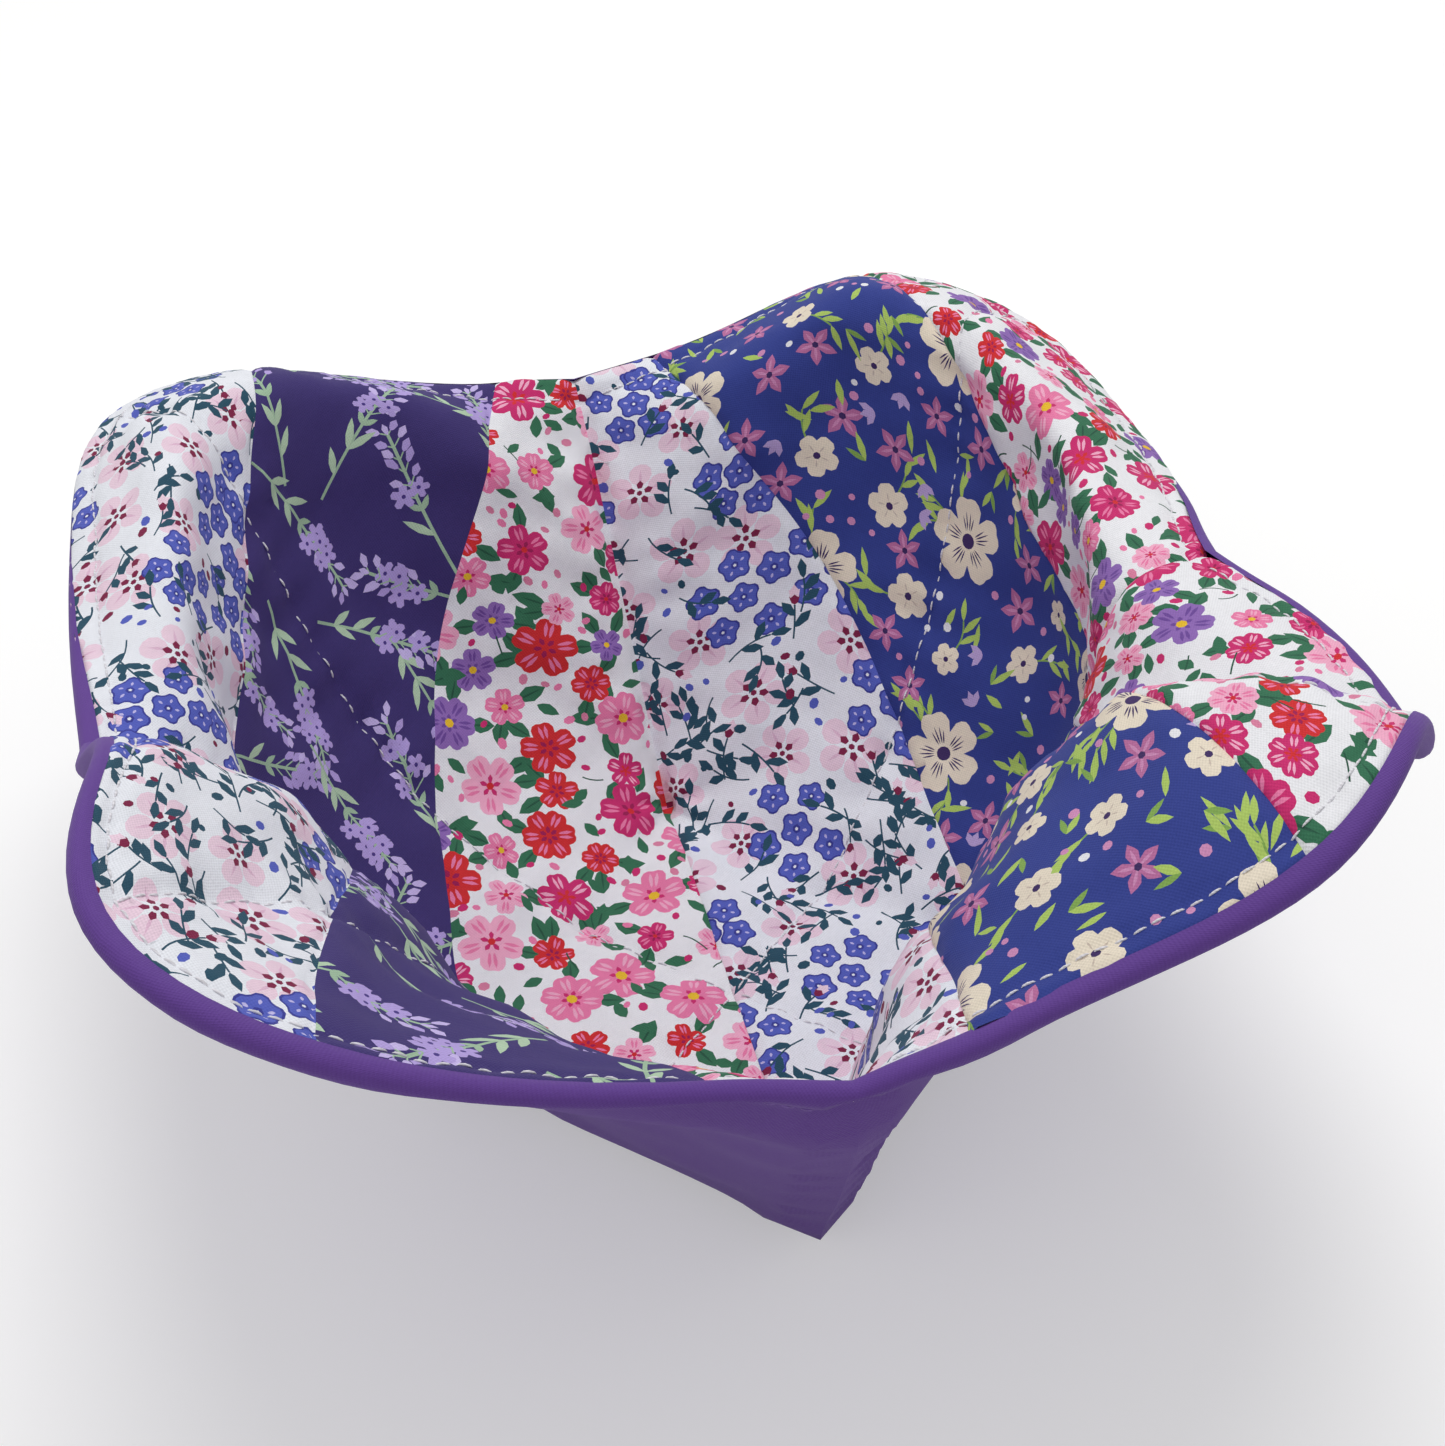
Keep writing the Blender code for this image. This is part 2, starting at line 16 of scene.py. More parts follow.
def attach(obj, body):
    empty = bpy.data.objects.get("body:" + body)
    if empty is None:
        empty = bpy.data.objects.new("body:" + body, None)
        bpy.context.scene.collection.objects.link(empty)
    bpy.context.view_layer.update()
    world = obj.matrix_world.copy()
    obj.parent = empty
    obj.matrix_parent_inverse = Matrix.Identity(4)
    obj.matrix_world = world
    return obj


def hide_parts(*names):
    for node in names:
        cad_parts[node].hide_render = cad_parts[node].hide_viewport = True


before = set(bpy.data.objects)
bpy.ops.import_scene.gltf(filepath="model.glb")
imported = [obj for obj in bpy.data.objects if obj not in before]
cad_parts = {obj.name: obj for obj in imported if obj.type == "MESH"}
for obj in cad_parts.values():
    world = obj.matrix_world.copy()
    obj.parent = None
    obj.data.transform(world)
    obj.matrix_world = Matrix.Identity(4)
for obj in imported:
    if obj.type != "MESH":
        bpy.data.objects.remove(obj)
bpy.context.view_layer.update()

MM = 0.001
ROOT2 = math.sqrt(2)

# Flat pattern
STRIP_WIDTH = 40 * MM
STRIP_COUNT = 6
HALF_SQUARE = STRIP_WIDTH * STRIP_COUNT / 2
CORNER_RADIUS = 40 * MM
DART_HALF_WIDTH = 26 * MM
FOOT_REACH = 45 * MM
FOOT_SOFTNESS = 6 * MM
CURVE_STEPS = 33

# How thick the cozy is, padded and at its stitched rim
STACK = 5.7 * MM
RIM_STACK = 2.8 * MM
PUFF_START = 4.5 * MM
PUFF_RUN = 11 * MM

# The rim is a round edge, with the outer cloth over it at the front and the lining over it at the back
EDGE_RADIUS = RIM_STACK / 2
LIP_FRONT = 0.4 * MM
LIP_BACK = -1.5 * MM
STITCH_INSET = 4.8 * MM
CORNER_TUCK = 1.3 * MM
TUCK_SPREAD = 16 * MM
LIP_TURN_START = 0.25
LIP_TURN_RUN = 0.6
LINING_TUCK = 0.3 * MM
LINING_TUCK_RUN = 1.2 * MM
FLOOR_GAP = 0.1 * MM

# Facets: the triangles' size in each layer, and the room that the grid leaves beside lines and the rim
LINING_PITCH = 2.2 * MM
OUTER_PITCH = 3 * MM
PAD_PITCH = 4.5 * MM
GRID_ROOM = 0.35
GRID_RIM = 4 * MM
MERGE = 1e-6
ON_EDGE = 1e-5
UV_SPAN = 3 * HALF_SQUARE

FORM_UNIT = HALF_SQUARE / 120


class Rise:
    """How the cloth climbs: its slopes at foot and rim, in degrees, and how far each reaches."""

    def __init__(self, foot_slope, rim_slope, foot_pull, rim_pull):
        self.slopes = math.radians(foot_slope), math.radians(rim_slope)
        self.pulls = foot_pull, rim_pull


class Lobe:
    """One corner: its rim from dart to dart, as out, side and height, and its middle's rise."""

    def __init__(self, rim, rise):
        self.rim = np.array(rim) * FORM_UNIT
        self.rise = rise


class Dart:
    """One sewn dart: its rim end as reach, swing and height, and its seam's rise."""

    def __init__(self, end, rise):
        self.end = np.array(end) * FORM_UNIT
        self.rise = rise


LOBES = (
    Lobe(
        ((80, -31, 56), (102, -13, 54), (115, 11, 57), (105, 35, 63), (83, 51, 60)),
        Rise(30, -28, 0.80, 0.60),
    ),
    Lobe(
        ((87, -44, 59), (109, -27, 61), (116, -3, 61), (101, 21, 60), (83, 40, 59)),
        Rise(18, -30, 0.78, 0.50),
    ),
    Lobe(
        ((74, -44, 77), (87, -26, 93), (108, -7, 95), (107, 17, 88), (88, 37, 77)),
        Rise(64, 24, 0.30, 0.30),
    ),
    Lobe(
        ((74, -49, 76), (92, -29, 86), (93, -4, 89), (89, 17, 71), (73, 39, 64)),
        Rise(84, -6, 0.32, 0.42),
    ),
)
DARTS = (
    Dart((73, 7, 62), Rise(45, -12, 0.55, 0.55)),
    Dart((92, 4, 55), Rise(40, 34, 0.16, 0.18)),
    Dart((85, -3, 61), Rise(27, 20, 0.43, 0.42)),
    Dart((87, -8, 69), Rise(70, 54, 0.23, 0.24)),
)

DART_ANGLE = math.atan2(DART_HALF_WIDTH, HALF_SQUARE - FOOT_REACH)
DART_SLANT = DART_HALF_WIDTH / (HALF_SQUARE - FOOT_REACH)
PANEL_HALF_ANGLE = math.pi / 4 - DART_ANGLE
APEX = -FOOT_REACH * math.sin(DART_ANGLE) / (math.cos(DART_ANGLE) - math.sin(DART_ANGLE))
STRAIGHT_END = HALF_SQUARE - CORNER_RADIUS
STRAIGHT_RIM = HALF_SQUARE - CORNER_RADIUS - DART_HALF_WIDTH
CORNER_ARC = CORNER_RADIUS * math.pi / 2
QUARTER_RIM = 2 * STRAIGHT_RIM + CORNER_ARC


# The form


def quarter_turns(points, count):
    x, y = points[:, 0], points[:, 1]
    turned = np.stack(((x, y), (-y, x), (-x, -y), (y, -x))[count % 4], axis=1)
    return np.column_stack((turned, points[:, 2:]))


def smooth(value):
    value = np.clip(value, 0, 1)
    return value * value * (3 - 2 * value)


def bell(distance, width):
    return np.exp(-((distance / width) ** 2))


def unit(vectors):
    return vectors / np.linalg.norm(vectors, axis=-1, keepdims=True)


def quarter_of(points):
    right, back = points[:, 0] >= 0, points[:, 1] >= 0
    return np.where(right, np.where(back, 0, 3), np.where(back, 1, 2))


def rim_inset(points):
    corner = np.abs(points) - STRAIGHT_END
    beyond = np.linalg.norm(np.maximum(corner, 0), axis=1)
    return CORNER_RADIUS - beyond - np.minimum(corner.max(axis=1), 0)


def dart_distance(points):
    along, across = np.abs(points).max(axis=1), np.abs(points).min(axis=1)
    return across * math.cos(DART_ANGLE) - (along - FOOT_REACH) * math.sin(DART_ANGLE)


def diagonal(x, y):
    """Out along a corner's diagonal, and to its side."""
    return (x + y) / ROOT2, (y - x) / ROOT2


def tip_distance(points):
    return np.hypot(np.abs(points).max(axis=1) - FOOT_REACH, np.abs(points).min(axis=1))


def natural_spline(knots, where):
    count = len(knots)
    left, right = np.eye(count), np.zeros((count, count))
    for i in range(1, count - 1):
        left[i, i - 1 : i + 2] = 1, 4, 1
        right[i, i - 1 : i + 2] = 6, -12, 6
    bend = np.linalg.solve(left, right) @ knots
    where = np.clip(where, 0, 1) * (count - 1)
    i = np.clip(where.astype(int), 0, count - 2)
    f = (where - i)[:, None]
    line = knots[i] * (1 - f) + knots[i + 1] * f
    return line + ((1 - f) ** 3 - (1 - f)) * bend[i] / 6 + (f**3 - f) * bend[i + 1] / 6


def rim_along(turned):
    heading = math.pi / 4 + turned
    cos, sin = np.cos(heading), np.sin(heading)
    to_side = (HALF_SQUARE - APEX) / cos
    to_back = (HALF_SQUARE - APEX) / sin
    reach = (STRAIGHT_END - APEX) * (cos + sin)
    inside = np.maximum(reach**2 - 2 * (STRAIGHT_END - APEX) ** 2 + CORNER_RADIUS**2, 0)
    on_side = APEX + to_side * sin <= STRAIGHT_END
    on_back = ~on_side & (APEX + to_back * cos <= STRAIGHT_END)
    length = np.where(on_side, to_side, np.where(on_back, to_back, reach + np.sqrt(inside)))
    x, y = APEX + length * cos, APEX + length * sin
    arc = CORNER_RADIUS * np.arctan2(y - STRAIGHT_END, x - STRAIGHT_END)
    place = np.where(
        on_side,
        y - DART_HALF_WIDTH,
        np.where(on_back, QUARTER_RIM - (x - DART_HALF_WIDTH), STRAIGHT_RIM + arc),
    )
    return length, place / QUARTER_RIM


def in_lobe(vector, side):
    reach, swing, up = vector
    x, y = (reach, swing) if side < 0 else (-swing, reach)
    return np.array((*diagonal(x, y), up))


def dart_slope(dart, slope):
    reach, swing = unit(dart.end[:2] - (FOOT_REACH, 0))
    return reach * math.cos(slope), swing * math.cos(slope), math.sin(slope)


def on_rays(number, turned, reach):
    """Places on the lining's face along rays from a panel's apex, turned from its diagonal."""
    lobe = LOBES[number]
    darts = (DARTS[number], -1), (DARTS[(number + 1) % 4], 1)
    ends = [in_lobe(dart.end, side) for dart, side in darts]
    knots = np.array((ends[0], *lobe.rim, ends[1]))
    foot, apex = FOOT_REACH / ROOT2, APEX * ROOT2
    cos, sin = np.cos(turned), np.sin(turned)
    nearness = np.abs(turned / PANEL_HALF_ANGLE) ** 3
    at_dart = nearness[:, None]
    start = (foot - apex) / cos - FOOT_SOFTNESS * (1 - nearness)
    to_rim, share = rim_along(turned)
    along = (reach - start) / (to_rim - start)

    headings, pulls = [], []
    for end in range(2):
        slope = lobe.rise.slopes[end]
        middle = unit(np.stack((cos * math.cos(slope), sin, cos * math.sin(slope)), axis=1))
        first, last = (in_lobe(dart_slope(dart, dart.rise.slopes[end]), at) for dart, at in darts)
        seam = np.where(turned[:, None] < 0, first, last)
        headings.append(unit(middle * (1 - at_dart) + seam * at_dart))
        seam_pull = np.where(turned < 0, darts[0][0].rise.pulls[end], darts[1][0].rise.pulls[end])
        pull = lobe.rise.pulls[end] * (1 - nearness) + seam_pull * nearness
        pulls.append((pull * (to_rim - start))[:, None])

    inside = np.stack((apex + start * cos, start * sin, 0 * cos), axis=1)
    edge = np.stack((np.full(len(cos), foot), (foot - apex) * np.tan(turned), 0 * cos), axis=1)
    rim = natural_spline(knots, share)
    controls = (inside, edge, edge + headings[0] * pulls[0], rim - headings[1] * pulls[1], rim)

    def on_curve(t):
        return sum(math.comb(4, i) * t**i * (1 - t) ** (4 - i) * p for i, p in enumerate(controls))

    curve = on_curve(np.linspace(0, 1, CURVE_STEPS)[:, None, None])
    pieces = np.linalg.norm(np.diff(curve, axis=0), axis=2)
    gone = np.vstack((np.zeros(len(cos)), np.cumsum(pieces, axis=0)))
    wanted = np.clip(along, 0, 1) * gone[-1]
    step = np.clip((gone <= wanted).sum(axis=0) - 1, 0, CURVE_STEPS - 2)
    every = np.arange(len(cos))
    f = (wanted - gone[step, every]) / pieces[step, every]
    place = on_curve(((step + f) / (CURVE_STEPS - 1))[:, None])
    flat_foot = np.stack((apex + reach * cos, reach * sin, 0 * cos), axis=1)
    return np.where((along > 0)[:, None], place, flat_foot)


def rays(flat):
    """Flat points of the first quarter as a turn from the diagonal and a reach from the panel's apex."""
    out, side = diagonal(flat[:, 0], flat[:, 1])
    turned = np.arctan2(side, out - APEX * ROOT2)
    return np.clip(turned, -PANEL_HALF_ANGLE, PANEL_HALF_ANGLE), np.hypot(side, out - APEX * ROOT2)


NEAR = 0.4 * MM
LEAST_REACH = 30 * NEAR
LONGEST_MITER = 1.12
PROBE = CORNER_RADIUS / 10
ON_SEAM = 1e-6
# How far in from the rim a layer is drawn to its own inset
DRAWN_BAND = 3 * EDGE_RADIUS


def facing(number, turned, reach):
    """The way the lining's face looks, into the bowl, in the lobe's own axes."""
    to_rim = rim_along(turned)[0]
    reach = np.clip(reach, LEAST_REACH, to_rim - 2 * NEAR)
    swing = NEAR / reach
    turned = np.clip(turned, -PANEL_HALF_ANGLE + 2 * swing, PANEL_HALF_ANGLE - 2 * swing)
    outwards = on_rays(number, turned, reach + NEAR) - on_rays(number, turned, reach - NEAR)
    around = on_rays(number, turned + swing, reach) - on_rays(number, turned - swing, reach)
    return unit(np.cross(outwards, around))


def to_world(number, vectors):
    """From a lobe's out, side and up to the cozy's own axes."""
    x, y = (vectors[:, 0] - vectors[:, 1]) / ROOT2, (vectors[:, 0] + vectors[:, 1]) / ROOT2
    return quarter_turns(np.column_stack((x, y, vectors[:, 2])), number)


def from_world(number, vectors):
    turned = quarter_turns(vectors, -number)
    return np.column_stack((*diagonal(turned[:, 0], turned[:, 1]), turned[:, 2]))


def lay(flat, quarters, inset, height):
    """Flat points laid on the form, drawn in to a given distance from the rim and raised by a height."""
    placed = np.zeros((len(flat), 3))
    for number in range(4):
        mine = quarters == number
        if not mine.any():
            continue
        turned, reach = rays(quarter_turns(flat[mine], -number))
        to_rim = rim_along(turned)[0]
        heading = math.pi / 4 + turned
        ahead = np.stack((np.cos(heading), np.sin(heading)), axis=1)
        slant = rim_inset(APEX + (to_rim - PROBE)[:, None] * ahead) / PROBE
        reach = np.where(inset[mine] < DRAWN_BAND, to_rim - inset[mine] / slant, reach)
        place = on_rays(number, turned, reach)
        look = facing(number, turned, reach)
        # On a dart's seam the step is shared with the lobe beyond it
        for side, other in ((-1, (number - 1) % 4), (1, (number + 1) % 4)):
            on_seam = turned * side > PANEL_HALF_ANGLE - ON_SEAM
            if on_seam.any():
                theirs = to_world(other, facing(other, -turned[on_seam], reach[on_seam]))
                ours = to_world(number, look[on_seam])
                shared = (ours + theirs) / (1 + (ours * theirs).sum(axis=1, keepdims=True))
                stretch = np.linalg.norm(shared, axis=1, keepdims=True)
                look[on_seam] = from_world(number, shared * np.minimum(1, LONGEST_MITER / stretch))
        placed[mine] = to_world(number, place + look * height[mine][:, None])
    placed[:, 2] += STACK
    return placed


# Folds, puckers and stitched grooves, as heights over the form

WAVES = 7
WAVE_LEVEL = 2.6
FOLD_HEIGHT = 1 * MM
FOLD_LENGTH = 60 * MM
NEAR_DART = 5 * MM
WALL_START = 30 * MM
QUILTING_START = 3 * MM
PRESSED_SEAM = 0.22 * MM
ALLOWANCE = 6 * MM
TIP_SPOKES = 7
TIP_PUCKER = 0.8 * MM


def ripple(points, length, seed):
    """Soft waves of about one length, from a few crossed sine waves."""
    chance = random.Random(seed)
    total = np.zeros(len(points))
    for _ in range(WAVES):
        angle = chance.uniform(0, math.tau)
        size = length * chance.uniform(0.7, 1.5)
        phase = chance.uniform(0, math.tau)
        along = points[:, 0] * math.cos(angle) + points[:, 1] * math.sin(angle)
        total += np.sin(along * math.tau / size + phase)
    return total / WAVE_LEVEL


def up_the_wall(flat):
    return smooth((np.abs(flat).sum(axis=1) - FOOT_REACH) / WALL_START)


def broad_folds(flat):
    """Slow waves that every layer shares, level on the foot and along each dart."""
    clear = smooth((dart_distance(flat) - 2 * MM) / (16 * MM))
    return FOLD_HEIGHT * ripple(flat, FOLD_LENGTH, 3) * clear * up_the_wall(flat)


def stack_depth(inset):
    """The thickness, from the stitched rim to the puffy middle."""
    return RIM_STACK + (STACK - RIM_STACK) * smooth((inset - PUFF_START) / PUFF_RUN)


def full_depth(inset, flat):
    return stack_depth(inset) - CORNER_TUCK * bell(tip_distance(flat), TUCK_SPREAD)


def groove(distance, depth, width):
    """A pressed-in line, with its depth and half width in millimetres."""
    return depth * MM * bell(distance, width * MM)


def puckers(flat, run, away, step, height, reach, wander, length, seed):
    """Small waves along a run, unevenly spaced, that fade away from it; sizes in millimetres."""
    waves = np.sin(run * math.tau / (step * MM) + wander * ripple(flat, length * MM, seed))
    return height * MM * waves * np.exp(-away / (reach * MM))


def lining_relief(flat, inset):
    """Grooves at the seams, quilting and topstitch, with the puckers that the thread draws in."""
    x, y = np.abs(flat[:, 0]), np.abs(flat[:, 1])
    height = np.zeros(len(flat))
    away = dart_distance(flat)
    clear = smooth(away / NEAR_DART)

    quilting, down_the_line = np.abs(x - y) / ROOT2, (x + y) / ROOT2
    height -= groove(quilting, depth=0.75, width=1.7) * smooth((inset - STITCH_INSET) / QUILTING_START)
    drawn = puckers(flat, down_the_line, quilting, 7.5, height=0.38, reach=6, wander=2, length=40, seed=5)
    height += drawn * clear

    height -= groove(inset - STITCH_INSET, depth=0.45, width=1.1)
    round_the_rim = np.arctan2(flat[:, 1], flat[:, 0]) * HALF_SQUARE
    beside = np.abs(inset - STITCH_INSET)
    drawn = puckers(flat, round_the_rim, beside, 6.5, height=0.2, reach=3.5, wander=1.5, length=30, seed=6)
    height += drawn * clear

    seam = flat[:, 0] / STRIP_WIDTH
    beside = (seam - np.round(seam)) * STRIP_WIDTH
    inner = np.abs(np.round(seam)) < STRIP_COUNT / 2
    height -= np.where(inner, groove(beside, depth=0.5, width=0.8), 0)
    allowance = smooth((ALLOWANCE - beside) / (1.5 * MM)) * (beside > 0)
    height += np.where(inner, PRESSED_SEAM * allowance * clear, 0)

    height -= groove(away, depth=0.9, width=1.3)
    up_the_dart = np.maximum(x, y)
    drawn = puckers(flat, up_the_dart, away, 8.5, height=0.5, reach=7, wander=2, length=35, seed=7)
    on_wall = smooth((up_the_dart - FOOT_REACH) / (12 * MM))
    height += drawn * smooth((away - 1.5 * MM) / (4 * MM)) * on_wall

    tip = tip_distance(flat)
    spoke = np.arctan2(np.minimum(x, y), FOOT_REACH - up_the_dart)
    waves = TIP_PUCKER * np.sin(TIP_SPOKES * spoke + 1)
    height += waves * np.exp(-tip / (11 * MM)) * smooth(tip / (4 * MM)) * clear

    for size, length, seed in ((0.5, 19, 11), (0.14, 9, 12)):
        height += size * MM * ripple(flat, length * MM, seed) * clear * smooth((inset - 6 * MM) / (8 * MM))
    return height


def outer_relief(flat, inset):
    """The outer's own softer waves, and the sewn-in groove along each dart; outwards is positive."""
    away = dart_distance(flat)
    height = -groove(away, depth=1.1, width=1.2)
    height += 0.35 * MM * np.exp(-away / NEAR_DART) * smooth(away / (2 * MM))
    height += 0.35 * MM * ripple(flat, 26 * MM, 21) * smooth(away / NEAR_DART) * up_the_wall(flat)
    return height - groove(inset - STITCH_INSET, depth=0.35, width=1.2)


def lip(flat):
    """Where the outer cloth ends round the edge and the lining begins: over the inside where positive."""
    back = smooth((flat[:, 1] / HALF_SQUARE - LIP_TURN_START) / LIP_TURN_RUN)
    return LIP_FRONT + (LIP_BACK - LIP_FRONT) * back


def lining_places(flat, raised=0.0):
    """The lining's flat points in place, rolled over the edge where it reaches it."""
    inset = rim_inset(flat)
    over = np.clip((EDGE_RADIUS - inset) / EDGE_RADIUS, 0, math.pi)
    drawn = np.where(over > 0, EDGE_RADIUS * (1 - np.sin(over)), inset)
    height = -EDGE_RADIUS * (1 - np.cos(over)) + lining_relief(flat, inset) + broad_folds(flat) + raised
    tuck = smooth(1 - (inset - EDGE_RADIUS - lip(flat)) / LINING_TUCK_RUN)
    height -= LINING_TUCK * tuck * (lip(flat) > 0)
    return lay(flat, quarter_of(flat), drawn, height)


def outer_places(flat, raised=0.0):
    """The outer's flat points in place: under the stack, round the edge and over onto the inside."""
    inset = rim_inset(flat)
    turn = (EDGE_RADIUS - inset) / EDGE_RADIUS
    over = np.clip(turn, 0, math.pi)
    radius = EDGE_RADIUS + raised
    drawn = np.where(turn > 0, EDGE_RADIUS - radius * np.sin(over), inset)
    drawn += np.maximum(turn - math.pi, 0) * EDGE_RADIUS
    depth = np.where(turn > 0, EDGE_RADIUS + radius * np.cos(over), full_depth(inset, flat) + raised)
    outwards = outer_relief(flat, inset) * smooth(inset / EDGE_RADIUS)
    height = -depth - outwards + broad_folds(flat)
    placed = lay(flat, quarter_of(flat), np.maximum(drawn, 0), height)
    placed[:, 2] = np.maximum(placed[:, 2], FLOOR_GAP)
    return placed


# Flat meshes


def rim_point(place, inset):
    if place <= STRAIGHT_RIM:
        x, y = HALF_SQUARE - inset, DART_HALF_WIDTH + place
    elif place >= STRAIGHT_RIM + CORNER_ARC:
        x, y = DART_HALF_WIDTH + QUARTER_RIM - place, HALF_SQUARE - inset
    else:
        angle = (place - STRAIGHT_RIM) / CORNER_RADIUS
        x = STRAIGHT_END + (CORNER_RADIUS - inset) * math.cos(angle)
        y = STRAIGHT_END + (CORNER_RADIUS - inset) * math.sin(angle)
    if place <= 0:
        y -= inset * DART_SLANT
    if place >= QUARTER_RIM:
        x -= inset * DART_SLANT
    return x, y


def rim_line(quarter, inset, pitch):
    """Points along a quarter's rim at an inset, which is a number or a rule of the flat place."""
    count = round(QUARTER_RIM / pitch)
    line = []
    for i in range(count + 1):
        place = QUARTER_RIM * i / count
        on_rim = quarter_turns(np.array((rim_point(place, 0),)), quarter)
        depth = float(inset(on_rim)[0]) if callable(inset) else inset
        line.append(quarter_turns(np.array((rim_point(place, depth),)), quarter)[0])
    return line


def dart_legs(quarter, end_inset, pitch):
    """Both legs of a dart, from its tip to the cloth's edge."""
    end = HALF_SQUARE - end_inset
    count = round((end - FOOT_REACH) / pitch)
    along = np.linspace(FOOT_REACH, end, count + 1)
    across = (along - FOOT_REACH) * DART_SLANT
    return [quarter_turns(np.stack((along, across * side), axis=1), quarter) for side in (1, -1)]


class Cut:
    """One cloth or pad in the flat: its outline, a grid inside it and any printed outlines, in triangles."""

    def __init__(self, left, right, edge_inset, pitch, rings=(), shapes=()):
        self.points, self.edges, self.faces = [], [], []
        near_left, near_right = left - 3 * pitch, right + 3 * pitch
        rims = [rim_line(quarter, edge_inset, pitch) for quarter in range(4)]
        for quarter in range(4):
            for line in (rims[quarter], *(rim_line(quarter, inset, pitch) for inset in rings)):
                self.add_line([p for p in line if near_left < p[0] < near_right])
            ends = rims[quarter][0], rims[quarter - 1][-1]
            for leg, end in zip(dart_legs(quarter, 2 * EDGE_RADIUS, pitch), ends):
                if any(near_left < p[0] < near_right for p in (*leg, end)):
                    self.add_line([*leg, end])
        for x in (left, right):
            if abs(x) < HALF_SQUARE - pitch:
                past = HALF_SQUARE + GRID_RIM
                self.add_line([(x, y) for y in np.arange(-past, past + MM, pitch)])
        columns = range(math.ceil(left / pitch), math.floor(right / pitch) + 1)
        rows = range(-round(HALF_SQUARE / pitch), round(HALF_SQUARE / pitch) + 1)
        grid = np.array([(i * pitch, j * pitch + (i % 2) * pitch / 2) for i in columns for j in rows])
        room = pitch * GRID_ROOM
        clear = (rim_inset(grid) > GRID_RIM) & (dart_distance(grid) > room)
        clear &= (grid[:, 0] > left + room) & (grid[:, 0] < right - room)
        self.points += [tuple(p) for p in grid[clear]]
        for outline, _ in shapes:
            start = len(self.points)
            self.points += [tuple(p) for p in outline]
            self.faces.append(list(range(start, len(self.points))))
        made = delaunay_2d_cdt([Vector(p) for p in self.points], self.edges, self.faces, 0, MERGE)
        self.flat = np.array([tuple(p) for p in made[0]])
        triangles = np.array(made[2])
        centres = self.flat[triangles].mean(axis=1)
        edge = edge_inset(centres) if callable(edge_inset) else edge_inset
        keep = (rim_inset(centres) > edge - ON_EDGE) & (dart_distance(centres) > 0)
        keep &= (centres[:, 0] > left) & (centres[:, 0] < right)
        self.triangles = triangles[keep]
        used = np.unique(self.triangles)
        renumber = np.full(len(self.flat), -1)
        renumber[used] = np.arange(len(used))
        self.flat = self.flat[used]
        self.triangles = renumber[self.triangles]
        inks = np.array([-1] + [ink for _, ink in shapes])
        on_top = [max(found, default=-1) + 1 for found, kept in zip(made[5], keep) if kept]
        self.inks = inks[on_top]
        a, b, c = (self.flat[self.triangles[:, i]] for i in range(3))
        self.area = float(np.abs(np.cross(b - a, c - a)).sum() / 2)

    def add_line(self, line):
        start = len(self.points)
        self.points += [tuple(p[:2]) for p in line]
        self.edges += [(i, i + 1) for i in range(start, len(self.points) - 1)]


def linear(colour):
    """Screen colour, 0 to 255, as linear light."""
    share = np.asarray(colour, float) / 255
    return np.where(share <= 0.04045, share / 12.92, ((share + 0.055) / 1.055) ** 2.4)


# Prints: outlines in millimetres on a strip, painted one over another


BLEED = 2
NOTCH_WIDTH = 0.13
LEAF_SIDE = (0.18, 0.62), (0.75, 0.66)


def spot(x, y, turn, along, across=0):
    """The place reached from another by going along a heading and across it."""
    cos, sin = math.cos(turn), math.sin(turn)
    return x + along * cos - across * sin, y + along * sin + across * cos


def spokes(turn, count=5):
    """Headings spaced evenly round a flower."""
    return [turn + math.tau * i / count for i in range(count)]


